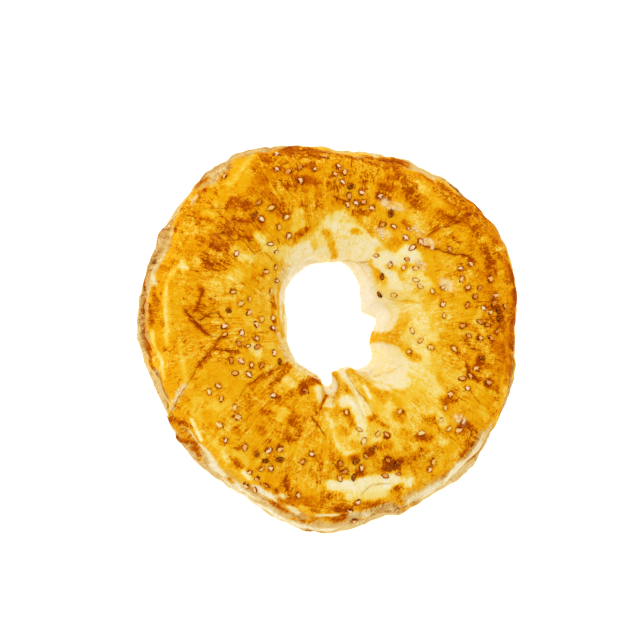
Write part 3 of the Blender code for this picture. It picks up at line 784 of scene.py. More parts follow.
# --- The shape of the roll ---------------------------------------------------------------------
@dataclass(frozen=True)
class Roll:
    """The roll of dough bent into a ring, before any relief."""

    hole_centre: tuple[float, float] = (-1.0, 3.0)
    outer_radius: tuple[float, ...] = (         # at every 15 degrees of turn
        75.0, 79.0, 80.0, 79.0, 77.0, 73.5, 74.5, 76.0,
        77.5, 79.0, 77.0, 75.0, 75.5, 74.0, 73.0, 75.5,
        74.0, 78.0, 80.5, 77.5, 76.5, 79.0, 77.0, 76.5,
    )
    inner_radius: tuple[float, ...] = (
        18.0, 20.0, 16.5, 19.5, 25.0, 29.0, 28.5, 28.0,
        27.0, 24.5, 21.0, 18.0, 16.5, 17.0, 18.0, 19.0,
        18.5, 18.0, 21.0, 15.0, 17.5, 19.5, 20.0, 17.5,
    )
    crest_height: tuple[float, ...] = (32.0, 32.0, 30.5, 32.0, 33.0, 33.5, 34.0, 33.0)
    widest_share: float = 0.24      # height of the widest line, as a share of the crest's
    dome_power: float = 2.15        # how square the domed top is: 2 is an ellipse
    base_power: float = 2.6
    base_depth: float = 1.30        # how far the base would bulge, before it is pressed flat
    middle: tuple[float, float] = (-1.13, 0.07)     # of the finished ring, which is moved to 0, 0
    line_steps: int = 12            # points of each stretch of a route

    def round_the_ring(self, stations: Sequence[float], turn: np.ndarray) -> np.ndarray:
        """Read a smooth closed curve through evenly spaced values.

        Args:
            stations: the values, evenly spaced round the ring.
            turn: angles in radians.

        Returns:
            The curve's value at each angle.
        """
        values = np.asarray(stations, float)
        count = len(values)
        place = np.mod(turn, 2 * math.pi) / (2 * math.pi) * count
        before = np.floor(place).astype(int)
        share = place - before
        a, b, c, d = (values[(before + step) % count] for step in (-1, 0, 1, 2))
        return b + 0.5 * share * (
            c - a + share * (2 * a - 5 * b + 4 * c - d + share * (3 * (b - c) + d - a))
        )

    def surface(self, turn: np.ndarray, side: np.ndarray) -> np.ndarray:
        """Find points of the plain roll.

        Args:
            turn: angles round the hole in radians.
            side: angles round the roll in radians.

        Returns:
            Points in millimetres.
        """
        outer = self.round_the_ring(self.outer_radius, turn)
        inner = self.round_the_ring(self.inner_radius, turn)
        crest = self.round_the_ring(self.crest_height, turn)
        widest = self.widest_share * crest
        upper = np.sin(side) >= 0.0
        power = np.where(upper, 2.0 / self.dome_power, 2.0 / self.base_power)
        reach = np.where(upper, crest - widest, self.base_depth * widest)
        across = np.sign(np.cos(side)) * np.abs(np.cos(side)) ** power
        rise = np.sign(np.sin(side)) * np.abs(np.sin(side)) ** power
        radius = 0.5 * (outer + inner) + 0.5 * (outer - inner) * across
        x = self.hole_centre[0] + radius * np.cos(turn)
        y = self.hole_centre[1] + radius * np.sin(turn)
        return np.column_stack((x, y, np.maximum(widest + reach * rise, 0.0)))

    def outward(self, turn: np.ndarray, side: np.ndarray) -> np.ndarray:
        """Find the directions square to the plain roll, pointing out of the dough.

        Args:
            turn: angles round the hole in radians.
            side: angles round the roll in radians.

        Returns:
            One direction of length 1 for each pair of angles.
        """
        step = 0.01
        along = self.surface(turn + step, side) - self.surface(turn - step, side)
        across = self.surface(turn, side + step) - self.surface(turn, side - step)
        return unit(np.cross(along, across))

    def line(self, route: Route) -> np.ndarray:
        """Lay a route on the plain roll.

        Args:
            route: its places, each a turn and a side in degrees.

        Returns:
            Closely spaced points in millimetres.
        """
        places = np.radians(np.array(route, float))
        stretches = len(places) - 1
        rows = np.linspace(0, stretches, self.line_steps * stretches + 1)
        turn, side = (np.interp(rows, np.arange(len(places)), angles) for angles in places.T)
        return self.surface(turn, side)


class RollInPhoto:
    """The plain roll as the photograph shows it, which turns pixels into places on the roll."""

    turn_step = 0.5                 # in degrees, as the sides below
    sides = (-30.0, 200.0)

    def __init__(self, roll: Roll, view: View) -> None:
        """Find the pixel of every place on the roll that faces the camera.

        Args:
            roll: the plain roll.
            view: where the photograph was taken from.
        """
        turn, side = (grid.ravel() for grid in np.meshgrid(
            np.radians(np.arange(0.0, 360.0, self.turn_step)), np.radians(np.arange(*self.sides))
        ))
        facing = roll.outward(turn, side) @ np.array(view.axes()[2]) > 0.0
        self.roll, self.turn, self.side = roll, turn[facing], side[facing]
        points = roll.surface(self.turn, self.side) - np.array((*roll.middle, 0.0))
        self.pixels = view.pixels(points)

    def line(self, route: Route, kind: RouteKind = RouteKind.PIXELS) -> np.ndarray:
        """Lay a route on the plain roll.

        Args:
            route: its places.
            kind: what the places are.

        Returns:
            Closely spaced points in millimetres.
        """
        if kind is RouteKind.ANGLES:
            return self.roll.line(route)
        nearest = [np.argmin(((self.pixels - spot) ** 2).sum(axis=1)) for spot in np.array(route)]
        turn = np.degrees(np.unwrap(self.turn[nearest]))
        return self.roll.line(tuple(zip(turn, np.degrees(self.side[nearest]))))


def from_line(
    points: np.ndarray, normals: np.ndarray, line: np.ndarray, reach: float
) -> tuple[np.ndarray, np.ndarray, np.ndarray]:
    """Measure how far points lie from a line on the skin.

    Args:
        points: the points, in millimetres.
        normals: the skin's outward direction at each point.
        line: closely spaced points of the line.
        reach: points farther than this from the line are left out.

    Returns:
        The numbers of the points within reach, their distances from the line, and how far each
        lies to the line's left.
    """
    low, high = line.min(axis=0) - reach, line.max(axis=0) + reach
    near = np.flatnonzero(np.all((points > low) & (points < high), axis=1))
    gaps = points[near, None, :] - line[None, :, :]
    nearest = np.argmin(np.einsum("ijk,ijk->ij", gaps, gaps), axis=1)
    gap = gaps[np.arange(len(near)), nearest]
    left = unit(np.cross(normals[near], np.gradient(line, axis=0)[nearest]))
    return near, np.linalg.norm(gap, axis=1), np.einsum("ij,ij->i", gap, left)


# --- Finishes ----------------------------------------------------------------------------------
@dataclass(frozen=True)
class Finish:
    """What every finish has: a name, and a material made with Blender's usual surface shader."""

    name: str

    def surface(self, tree: NodeTree, place: NodeSocket) -> Inputs:
        """Make the nodes of the finish.

        Args:
            tree: the material's node tree.
            place: coordinates on the piece in metres.

        Returns:
            What each input of the surface shader gets.
        """
        raise NotImplementedError

    def material(self) -> Material:
        """Make the material.

        Returns:
            The material.
        """
        material = bpy.data.materials.new(self.name)
        material.use_nodes = True
        tree = material.node_tree
        place = add_node(tree, "ShaderNodeTexCoord").outputs["Object"]
        set_inputs(tree, tree.nodes["Principled BSDF"], self.surface(tree, place))
        return material


@dataclass(frozen=True)
class EggWashedCrust(Finish):
    """Crust of enriched bread, brushed with egg before it was baked: the wash browns in patches,
    fills the hollows with gold and leaves a soft gloss; folds that it missed stay cream and dull.
    The dark lines in the creases, and the darker browning beside them and round the seeds, are
    partly painted shade."""

    name: str = "egg_washed_crust"
    washed: Stops = (
        (0.02, "#FBF1CC"), (0.16, "#F9E38E"), (0.31, "#F7CC40"), (0.46, "#F2B20E"),
        (0.58, "#EDA004"), (0.70, "#DE8000"), (0.83, "#C05A00"), (0.97, "#A04000"),
    )
    unwashed: Stops = (
        (0.0, "#FEF8E8"), (0.14, "#F4E5BC"), (0.28, "#E8CB86"), (0.44, "#DCAE62"),
        (0.60, "#C4893C"), (0.80, "#9A581A"), (0.97, "#5A2A08"),
    )
    bare: str = "#FBE3A4"
    # colour of the dark lines in the creases: partly scorched crust, partly painted shade
    scorch_and_shade_colour: str = "#8E3400"
    crack_edge: Range = (0.096, 0.384)  # from where to where a dark line fades
    crack_wander: float = 0.22      # how far the line wanders, and over which size
    crack_wander_size: float = 1.3
    clouds: tuple[tuple[str, float, float, float], ...] = (
        # coordinates, size, strength and softness of the browning
        ("place", 8.0, 0.10, 0.14),     # cloudy patches
        ("place", 3.0, 0.14, 0.11),     # spots between them
        ("lane", 2.6, 0.13, 0.12),      # streaks where the skin was stretched round the roll
        ("lane", 0.9, 0.11, 0.12),
        ("place", 1.1, 0.13, 0.12),     # the blistered skin itself
        ("place", 0.5, 0.21, 0.12),
    )
    cloudy_bake: Range = (0.28, 0.76)   # browner crust is cloudier, by these shares
    cloudy_share: Range = (0.5, 1.35)
    quiet_field: float = 9.0        # size of the fields where the skin is smooth or blistered
    quiet_noise: Range = (0.40, 0.60)
    quiet_share: Range = (0.42, 1.28)
    hairline_size: float = 3.0      # loops of the fine wrinkles, and their share of the noise
    hairline_width: float = 0.018
    hairline_field: float = 13.0    # size of the fields that have them
    hairline_noise: Range = (0.42, 0.56)
    hairline_tone: float = 0.65     # how much darker a wrinkle is than the skin beside it
    pore_size: float = 0.55
    pore_depth: float = 0.16
    wrinkle_size: float = 2.6
    wrinkle_depth: float = 0.28
    roughness: Range = (0.68, 0.40)     # without the wash, and with it
    ior: float = 1.46
    gloss: float = 0.015            # a thin coat alone reflects, so that the colours stay deep
    gloss_roughness: float = 0.25

    def tone(self, tree: NodeTree, read: Sockets) -> Node:
        """Add cloudy and spotty unevenness to the painted browning.

        Args:
            tree: the crust's node tree.
            read: the coordinates on the crust, and the values stored on its mesh.

        Returns:
            A node that gives the browning from 0 to 1.
        """
        share = add_node(tree, "ShaderNodeMapRange", {
            "Value": read["bake"], **span("From", self.cloudy_bake), **span("To", self.cloudy_share),
        })
        quiet = add_node(tree, "ShaderNodeTexNoise", {
            "Vector": read["place"], "Scale": scale_of(self.quiet_field), "Detail": 2.0,
        })
        rough = add_node(tree, "ShaderNodeMapRange", {
            "Value": quiet, **span("From", self.quiet_noise), **span("To", self.quiet_share),
        })
        share = add_node(tree, "ShaderNodeMath", {0: share, 1: rough}, operation="MULTIPLY")
        bake = read["bake"]
        for where, size, strength, soft in self.clouds:
            cloud = add_node(tree, "ShaderNodeTexNoise", {
                "Vector": read[where], "Scale": scale_of(size),
                "Detail": 4.0, "Roughness": 0.6, "Distortion": 0.8,
            })
            patch = add_node(tree, "ShaderNodeMapRange", {
                "Value": cloud, **span("From", (0.5 - soft, 0.5 + soft)),
                **span("To", (-0.5 * strength, 0.5 * strength)),
            }, interpolation_type="SMOOTHSTEP")
            bake = add_node(tree, "ShaderNodeMath", {0: patch, 1: share, 2: bake}, operation="MULTIPLY_ADD")
        darker = add_node(tree, "ShaderNodeMath", {0: bake, 1: self.hairline_tone}, operation="MULTIPLY")
        return add_node(tree, "ShaderNodeMath", {
            0: self.hairlines(tree, read), 1: darker, 2: bake,
        }, operation="MULTIPLY_ADD")

    def hairlines(self, tree: NodeTree, read: Sockets) -> Node:
        """Find the fine wrinkles of the drying wash: thin loops that come in fields.

        Args:
            tree: the crust's node tree.
            read: the coordinates on the crust, and the values stored on its mesh.

        Returns:
            A node that gives 1 on a wrinkle and 0 beside it.
        """
        loops = add_node(tree, "ShaderNodeTexNoise", {
            "Vector": read["lane"], "Scale": scale_of(self.hairline_size), "Detail": 2.0,
            "Distortion": 1.2,
        })
        centred = add_node(tree, "ShaderNodeMath", {0: loops, 1: 0.5}, operation="SUBTRACT")
        away = add_node(tree, "ShaderNodeMath", {0: centred}, operation="ABSOLUTE")
        line = add_node(tree, "ShaderNodeMapRange", {
            "Value": away, "From Max": self.hairline_width, **span("To", (1.0, 0.0)),
        })
        fields_at = add_node(tree, "ShaderNodeTexNoise", {
            "Vector": read["place"], "Scale": scale_of(self.hairline_field), "Detail": 1.0,
        })
        share = add_node(tree, "ShaderNodeMapRange", {
            "Value": fields_at, **span("From", self.hairline_noise),
        })
        return add_node(tree, "ShaderNodeMath", {0: line, 1: share}, operation="MULTIPLY")

    def colour(self, tree: NodeTree, read: Sockets) -> Node:
        """Turn the browning into the crust's colour.

        Args:
            tree: the crust's node tree.
            read: the coordinates on the crust, and the values stored on its mesh.

        Returns:
            A node that gives the colour.
        """
        tone = self.tone(tree, read)
        unwashed, washed = (
            fill_ramp(add_node(tree, "ShaderNodeValToRGB", {0: tone}), stops)
            for stops in (self.unwashed, self.washed)
        )
        colour = unwashed
        for amount, shade in (
            (read["wash"], washed), (read["bare"], linear(self.bare)),
            (self.dark_crease_lines(tree, read), linear(self.scorch_and_shade_colour)),
        ):
            colour = add_node(tree, "ShaderNodeMix", {
                "Factor": amount, 6: colour, 7: shade,
            }, data_type="RGBA")
        return colour

    def dark_crease_lines(self, tree: NodeTree, read: Sockets) -> Node:
        """Draw thin dark lines along the creases, from the distance stored on the mesh: partly scorched
        crust and partly painted shade in the creases.

        Args:
            tree: the crust's node tree.
            read: the coordinates on the crust, and the values stored on its mesh.

        Returns:
            A node that gives how much of the dark colour shows, from 0 to 1.
        """
        wander = add_node(tree, "ShaderNodeTexNoise", {
            "Vector": read["place"], "Scale": scale_of(self.crack_wander_size), "Detail": 3.0,
        })
        moved = add_node(tree, "ShaderNodeMath", {
            0: wander, 1: 2.0 * self.crack_wander, 2: read["aside"],
        }, operation="MULTIPLY_ADD")
        centred = add_node(tree, "ShaderNodeMath", {
            0: moved, 1: self.crack_wander,
        }, operation="SUBTRACT")
        distance = add_node(tree, "ShaderNodeMath", {0: centred}, operation="ABSOLUTE")
        line = add_node(tree, "ShaderNodeMapRange", {
            "Value": distance, **span("From", self.crack_edge), **span("To", (1.0, 0.0)),
        }, interpolation_type="SMOOTHSTEP")
        return add_node(tree, "ShaderNodeMath", {0: line, 1: read["scorch_and_shade"]}, operation="MULTIPLY")

    def relief(self, tree: NodeTree, place: NodeSocket) -> Node:
        """Roughen the skin more finely than its mesh can.

        Args:
            tree: the crust's node tree.
            place: coordinates on the crust in metres.

        Returns:
            A node that gives the bumped normal.
        """
        pores = add_node(tree, "ShaderNodeTexNoise", {
            "Vector": place, "Scale": scale_of(self.pore_size), "Detail": 2.0,
        })
        fine = add_node(tree, "ShaderNodeBump", {
            "Height": pores, "Distance": self.pore_depth * MM, "Strength": 1.0,
        })
        wrinkles = add_node(tree, "ShaderNodeTexNoise", {
            "Vector": place, "Scale": scale_of(self.wrinkle_size), "Detail": 4.0, "Distortion": 1.2,
        }, noise_type="RIDGED_MULTIFRACTAL", normalize=True)
        return add_node(tree, "ShaderNodeBump", {
            "Height": wrinkles, "Distance": self.wrinkle_depth * MM, "Strength": 1.0, "Normal": fine,
        })

    def surface(self, tree: NodeTree, place: NodeSocket) -> Inputs:
        """Make the crust's nodes.

        Args:
            tree: the material's node tree.
            place: coordinates on the crust in metres.

        Returns:
            What each input of the surface shader gets.
        """
        read = {"place": place}
        for output, names in (("Fac", ("bake", "wash", "bare", "aside", "scorch_and_shade")), ("Vector", ("lane",))):
            for name in names:
                stored = add_node(tree, "ShaderNodeAttribute", attribute_name=name)
                read[name] = stored.outputs[output]
        rough = add_node(tree, "ShaderNodeMapRange", {
            "Value": read["wash"], **span("To", self.roughness),
        })
        return {
            "Base Color": self.colour(tree, read), "Roughness": rough, "IOR": self.ior,
            "Normal": self.relief(tree, place), "Specular IOR Level": 0.0,
            "Coat Weight": self.gloss, "Coat Roughness": self.gloss_roughness,
        }


@dataclass(frozen=True)
class SesameHull(Finish):
    """Hulled sesame seed, dry and toasted: a dull cream to brown skin that has browned most
    round its thin rim and at its pointed end. The dark rim is partly that browning and partly
    painted contact shade round the seed."""

    middle: str
    # colour of the rim: partly toasting, partly painted contact shade
    rim: str
    tint: str
    edge: str = "#D07A18"           # where the middle meets the rim
    edge_band: float = 0.45         # how much of the way to the rim the edge takes
    grain_size: float = 0.9         # faint mottling of the skin
    grain_share: float = 0.5        # how much of it there is beside the toasting
    tint_range: Range = (0.1, 1.2)
    worn_range: Range = (0.36, 0.52)    # grain over which the rim's browning is worn away
    roughness: float = 0.50
    ior: float = 1.47

    def surface(self, tree: NodeTree, place: NodeSocket) -> Inputs:
        """Make the seed's nodes.

        Args:
            tree: the material's node tree.
            place: coordinates on the seeds in metres.

        Returns:
            What each input of the surface shader gets.
        """
        rim, toast = (
            add_node(tree, "ShaderNodeAttribute", attribute_name=name).outputs["Fac"]
            for name in ("rim", "toast")
        )
        grain = add_node(tree, "ShaderNodeTexNoise", {
            "Vector": place, "Scale": scale_of(self.grain_size), "Detail": 2.0,
        })
        mixed = add_node(tree, "ShaderNodeMath", {
            0: grain, 1: self.grain_share, 2: toast,
        }, operation="MULTIPLY_ADD")
        share = add_node(tree, "ShaderNodeMapRange", {
            "Value": mixed, **span("From", self.tint_range),
        })
        worn = add_node(tree, "ShaderNodeMapRange", {
            "Value": grain, **span("From", self.worn_range),
        })
        rim = add_node(tree, "ShaderNodeMath", {0: rim, 1: worn}, operation="MULTIPLY")
        colour = add_node(tree, "ShaderNodeMix", {
            "Factor": share, 6: linear(self.middle), 7: linear(self.tint),
        }, data_type="RGBA")
        for start, shade in ((0.0, self.edge), (self.edge_band, self.rim)):
            reach = add_node(tree, "ShaderNodeMapRange", {
                "Value": rim, **span("From", (start, start + self.edge_band)),
            })
            colour = add_node(tree, "ShaderNodeMix", {
                "Factor": reach, 6: colour, 7: linear(shade),
            }, data_type="RGBA")
        return {
            "Base Color": colour, "Roughness": self.roughness, "IOR": self.ior,
            "Specular IOR Level": 0.0,
        }


@dataclass(frozen=True)
class PlainFinish(Finish):
    """One dull, slightly cloudy colour, for flakes of dry skin and for the floor."""

    light: str
    dark: str
    cloud_size: float
    roughness: float
    glow: float = 0.0               # light that the surface gives off, as a light table does
    sheen: float = 0.1

    def surface(self, tree: NodeTree, place: NodeSocket) -> Inputs:
        """Make the nodes of the cloudy colour.

        Args:
            tree: the material's node tree.
            place: coordinates on the piece in metres.

        Returns:
            What each input of the surface shader gets.
        """
        cloud = add_node(tree, "ShaderNodeTexNoise", {
            "Vector": place, "Scale": scale_of(self.cloud_size),
        })
        colour = add_node(tree, "ShaderNodeMix", {
            "Factor": cloud, 6: linear(self.light), 7: linear(self.dark),
        }, data_type="RGBA")
        return {
            "Base Color": colour, "Roughness": self.roughness, "Specular IOR Level": self.sheen,
            "Emission Color": linear(self.light), "Emission Strength": self.glow,
        }


# --- The bread ---------------------------------------------------------------------------------
@dataclass
class BreadRing:
    """The crust as one closed skin, with its folds, creases and browning."""

    roll: Roll
    photo: RollInPhoto
    around_steps: int = 256         # the most that Blender's torus has
    section_steps: int = 170
    fine_side: float = 280.0        # the folds beside the notch take closer columns
    fine_around: float = 0.25
    fine_top: float = 0.45          # the top takes closer rows than the flat base
    broad_relief: tuple[Lumps, ...] = (
        Lumps(24.0, 1.3),           # broad lumps of the filling under the skin
        Lumps(9.0, 0.45),           # dimples
    )
    fine_relief: tuple[Lumps, ...] = (
        Lumps(3.4, 0.26, 3.0),      # uneven skin between the dimples
        Lumps(1.5, 0.11, 5.0),      # grain
    )
    scallops: Lumps = Lumps(4.0, 0.55, 7.0)     # small bulges along the outermost line
    rim_distance: Range = (56.0, 72.0)          # where they start and are whole, from the hole
    rim_height: Range = (14.0, 22.0)            # where they are whole and end, from the floor
    base_clear: Range = (1.5, 8.0)  # relief starts at one height, whole at the other
    fold_reach: float = 3.0         # widths of a fold over which it is reckoned
    lap_edge: float = 0.8           # half the width of a lap's step
    crease_wander: Lumps = Lumps(2.6, 0.5, 9.0)
    crease_reach: float = 4.0       # widths of a crease over which it is reckoned
    lip_share: float = 0.35         # height of a crease's two lips, as a share of its depth
    lip_place: float = 2.0          # widths from its middle to its lips
    dark_reach: Range = (0.9, 2.0)  # where the dark line's surroundings fade
    far: float = 9.0                # stands for a place with no crease near it
    # how the darkness of the crease lines, partly painted shade, wanders, and its level
    scorch_and_shade_wander: Lumps = Lumps(2.2, 0.6, 61.0)
    scorch_and_shade_level: float = 0.85
    stroke_wander: tuple[Lumps, ...] = (Lumps(5.5, 0.6, 21.0), Lumps(1.6, 0.9, 31.0))
    steady_width: float = 2.6       # narrower patches wander less
    stroke_core: float = 0.65       # widths within which a patch is whole
    stroke_edge: Range = (1.3, 0.4)     # widths, and millimetres more, at which it has faded
    stroke_reach: Range = (1.6, 1.0)    # the same, over which it is reckoned
    stroke_cover: float = 0.92      # how much of the browning below a patch hides
    bake_wander: Lumps = Lumps(9.0, 7.0, 11.0)  # of the plain browning, in degrees
    wash_wander: Lumps = Lumps(6.0, 6.0, 41.0)  # of the wash's ends, in degrees
    wash_fade: float = 12.0         # degrees over which the wash sets in
    wash_inside: Range = (136.0, 160.0)         # sides between which it thins out, in the hole
    wash_thinned: float = 0.8       # how much of it is missing there
    flakes: Lumps = Lumps(1.3, 1.0, 51.0)       # of skin left on the bare spots
    flake_edge: Range = (-0.35, 0.35)
    bare_share: float = 0.85
    # browning round each seed: partly pooled wash, partly painted contact shade of the seed
    pooled_wash_and_shade_gap: Range = (1.2, 2.1)    # wash pooled round a seed: where it is whole, and where gone
    pooled_wash_and_shade_bake: Range = (0.20, 0.55)             # browning of the crust on which it shows
    pooled_wash_and_shade_tone: float = 0.24
    # darkening of the skin beside a crease: partly browning, partly painted shade
    crease_brown_and_shade_tone: float = 0.30      # how much a crease browns the skin beside it
    lane_turn: float = 46.0         # radius of the ring, and of its section, for streaks
    lane_depth: float = 26.0
    lane_squeeze: float = 0.2       # how much shorter a streak's coordinates are along it
    plain_browning: Stations = (
        # side, and the browning of the crust there
        (-90, 0.66), (-45, 0.55), (-20, 0.36), (0, 0.30), (14, 0.34), (26, 0.47), (42, 0.54),
        (90, 0.52), (118, 0.49), (134, 0.38), (150, 0.16), (168, 0.02), (200, 0.08), (230, 0.42),
        (270, 0.66),
    )
    wash_ends: Stations = (
        # turn, and the side at which the egg wash stops there
        (0, 2), (30, 3), (54, 6), (60, 16), (67, 16), (73, 8), (96, 10), (110, 24), (115, 32),
        (131, 36), (136, 24), (140, 6), (146, 5), (153, 22), (186, 16), (191, 2), (206, 2),
        (210, 20), (250, 24), (274, 22), (300, 26), (318, 34), (328, 18), (334, 6), (360, 2),
    )
    finish: EggWashedCrust = EggWashedCrust()
    plain: np.ndarray = field(init=False)       # the plain roll's points, and their angles
    turn: np.ndarray = field(init=False)
    side: np.ndarray = field(init=False)
    aside: np.ndarray = field(init=False)       # how far each point lies left of its crease
    # darkness of the nearest crease's line: partly scorching, partly painted shade
    scorch_and_shade: np.ndarray = field(init=False)      # how dark that crease is there
    # darkening beside the creases: partly browning, partly painted shade
    toasted: np.ndarray = field(init=False)     # how much a crease browns the skin there

    def angles(self) -> tuple[Mesh, np.ndarray, np.ndarray]:
        """Start from a torus and read the two angles of each of its vertices.

        Returns:
            The torus's mesh, and the turn and side of each vertex in radians.
        """
        bpy.ops.mesh.primitive_torus_add(
            major_segments=self.around_steps, minor_segments=self.section_steps,
            major_radius=2.0, minor_radius=1.0,
        )
        torus = bpy.context.object
        mesh = torus.data
        bpy.data.objects.remove(torus)
        points = np.array([vertex.co for vertex in mesh.vertices])
        turn = np.arctan2(points[:, 1], points[:, 0])
        side = np.arctan2(points[:, 2], np.hypot(points[:, 0], points[:, 1]) - 2.0)
        turn -= self.fine_around * np.sin(turn - math.radians(self.fine_side))
        side -= self.fine_top * np.sin(side - math.radians(90))
        return mesh, turn, side

    def fold_lift(self, points: np.ndarray, normals: np.ndarray) -> np.ndarray:
        """Find how far the folds raise the skin.

        Args:
            points: points of the plain roll.
            normals: its outward directions.

        Returns:
            A height for each point.
        """
        lift = np.zeros(len(points))
        for fold in FOLDS:
            line = self.roll.line(fold.route)
            near, distance, left = from_line(points, normals, line, self.fold_reach * fold.width)
            height = fold.height * np.exp(-(distance / fold.width) ** 2)
            if fold.kind is FoldKind.LAP:
                height *= smooth_step(-self.lap_edge, self.lap_edge, left)
            lift[near] += height
        return lift

    def crease_lift(self, points: np.ndarray, normals: np.ndarray) -> np.ndarray:
        """Find how deep the thin creases go, and keep what the dark lines in them need.

        Args:
            points: points of the plain roll, moved a little so that the creases wander.
            normals: its outward directions.

        Returns:
            A height for each point.
        """
        lift, self.scorch_and_shade, self.toasted = (np.zeros(len(points)) for _ in range(3))
        closest, self.aside = (np.full(len(points), self.far) for _ in range(2))
        for crease in CREASES:
            line = self.photo.line(crease.route)
            near, distance, left = from_line(points, normals, line, self.crease_reach * crease.width)
            share = np.exp(-(distance / crease.width) ** 2)
            lip = np.exp(-((distance - self.lip_place * crease.width) / crease.width) ** 2)
            lift[near] += crease.depth * (self.lip_share * lip - share)
            nearer = distance < closest[near]
            own = near[nearer]
            closest[own] = distance[nearer]
            self.aside[own] = left[nearer]
            # darkening beside the crease: partly browning, partly painted shade
            self.toasted[near] = np.maximum(self.toasted[near], crease.scorch_and_shade * share * share)
            self.scorch_and_shade[own] = crease.scorch_and_shade * (1.0 - smooth_step(*self.dark_reach, distance[nearer]))
        return lift

    def lift(self, points: np.ndarray, normals: np.ndarray) -> np.ndarray:
        """Find how far the finished skin stands off the plain roll.

        Args:
            points: points of the plain roll.
            normals: its outward directions.

        Returns:
            A height for each point.
        """
        lift = sum(lumps.read(points) for lumps in self.broad_relief)
        lift += self.fold_lift(points, normals)
        lift += self.crease_lift(points + self.crease_wander.drift(points), normals)
        for lumps in self.fine_relief:
            lift += lumps.read(points)
        lift += self.scallops.read(points) * self.on_rim(points)
        return lift * smooth_step(*self.base_clear, points[:, 2])

    def on_rim(self, points: np.ndarray) -> np.ndarray:
        """Find how near each point lies to the roll's outermost line: 1 on it, 0 well above it."""
        out = np.hypot(*(points[:, axis] - self.roll.hole_centre[axis] for axis in (0, 1)))
        return smooth_step(*self.rim_distance, out) * (1.0 - smooth_step(*self.rim_height, points[:, 2]))

    def plain_bake(self) -> np.ndarray:
        """Brown the crust by where it faces, before its patches.

        Returns:
            The browning of each point.
        """
        degrees = in_degrees(self.side) + self.bake_wander.read(self.plain)
        return np.interp(degrees, *zip(*self.plain_browning))

    def plain_wash(self) -> np.ndarray:
        """Find where the egg wash lies, before the patches.

        Returns:
            1 for each point on the wash, and 0 for each where it is missing.
        """
        degrees = in_degrees(self.side) + self.wash_wander.read(self.plain)
        ends = np.interp(np.mod(np.degrees(self.turn), 360.0), *zip(*self.wash_ends))
        wash = smooth_step(ends, ends + self.wash_fade, degrees)
        return wash * (1.0 - self.wash_thinned * smooth_step(*self.wash_inside, degrees))

    def paint(self, mesh: Mesh, seeds: np.ndarray) -> None:
        """Store the browning, the egg wash, the bare spots and the dark lines on the mesh.

        Args:
            mesh: the crust's mesh.
            seeds: the middles of the sesame seeds in metres.
        """
        points = self.plain
        wander = sum(lumps.drift(points) for lumps in self.stroke_wander)
        bake, wash, bare = self.plain_bake(), self.plain_wash(), np.zeros(len(points))
        for kind, stroke in ((kind, stroke) for kind, strokes in LAYERS for stroke in strokes):
            line = self.photo.line(stroke.route, kind)
            moved = points + min(1.0, stroke.width / self.steady_width) * wander
            edge, reach = (
                widths * stroke.width + more for widths, more in (self.stroke_edge, self.stroke_reach)
            )
            near, distance, _ = from_line(moved, points, line, reach)
            share = smooth_step(edge, self.stroke_core * stroke.width, distance)
            if stroke.bake is Bake.BARE:
                bare[near] = np.maximum(bare[near], share)
            else:
                bake[near] += (stroke.bake.browning - bake[near]) * self.stroke_cover * share
                wash[near] += (stroke.bake.washed - wash[near]) * share
        bare *= smooth_step(*self.flake_edge, self.flakes.read(points))
        # painted contact shade round the seeds, together with the wash pooled there
        pooled_wash_and_shade = self.near_seeds(mesh, seeds) * smooth_step(*self.pooled_wash_and_shade_bake, bake)
        # the dark crease lines: partly scorching, partly painted shade
        scorch_and_shade = self.scorch_and_shade * (self.scorch_and_shade_level + self.scorch_and_shade_wander.read(points))
        # the browning also gets the painted shade round the seeds and beside the creases
        for name, values in (
            ("bake", bake + self.pooled_wash_and_shade_tone * pooled_wash_and_shade + self.crease_brown_and_shade_tone * self.toasted),
            ("wash", wash), ("bare", self.bare_share * bare), ("aside", self.aside),
            ("scorch_and_shade", np.clip(scorch_and_shade, 0, 1)),
        ):
            set_values(mesh, name, values)

    def near_seeds(self, mesh: Mesh, seeds: np.ndarray) -> np.ndarray:
        """Find how near each vertex lies to a sesame seed, where the wash has pooled and where painted
        contact shade darkens the crust.

        Args:
            mesh: the crust's finished mesh.
            seeds: the middles of the seeds in metres.

        Returns:
            1 beside a seed, falling to 0 a few millimetres away.
        """
        places = np.empty(3 * len(mesh.vertices), np.float32)
        mesh.vertices.foreach_get("co", places)
        places = places.reshape(-1, 3)
        pooled_wash_and_shade = np.zeros(len(places))
        for seed in seeds:
            gap = np.linalg.norm(places - seed, axis=1) / MM
            pooled_wash_and_shade = np.maximum(pooled_wash_and_shade, 1.0 - smooth_step(*self.pooled_wash_and_shade_gap, gap))
        return pooled_wash_and_shade

    def build(self) -> Object:
        """Shape the crust, without its colours.

        Returns:
            The crust. Its plain points and their angles are kept for painting.
        """
        mesh, turn, side = self.angles()
        plain = self.roll.surface(turn, side)
        normals = self.roll.outward(turn, side)
        points = plain + normals * self.lift(plain, normals)[:, None]
        points[:, :2] -= self.roll.middle
        points[:, 2] = np.maximum(points[:, 2] - points[:, 2].min(), 0.0)
        mesh.vertices.foreach_set("co", (points * MM).ravel())
        mesh.update()
        self.plain, self.turn, self.side = plain, turn, side
        height = self.lane_squeeze * self.lane_depth * np.mod(side + math.radians(90), 2 * math.pi)
        lane = self.lane_turn * np.column_stack((np.cos(turn), np.sin(turn), height / self.lane_turn))
        set_values(mesh, "lane", lane * MM)
        return new_piece("crust", mesh)

    def dress(self, crust: Object, seeds: np.ndarray) -> None:
        """Give the crust its colours and its place on the bread.

        Args:
            crust: the crust from build.
            seeds: the middles of the sesame seeds in metres.
        """
        self.paint(crust.data, seeds)
        crust.data.materials.clear()
        crust.data.materials.append(self.finish.material())
        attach(crust, BODY)
        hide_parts(NODE)


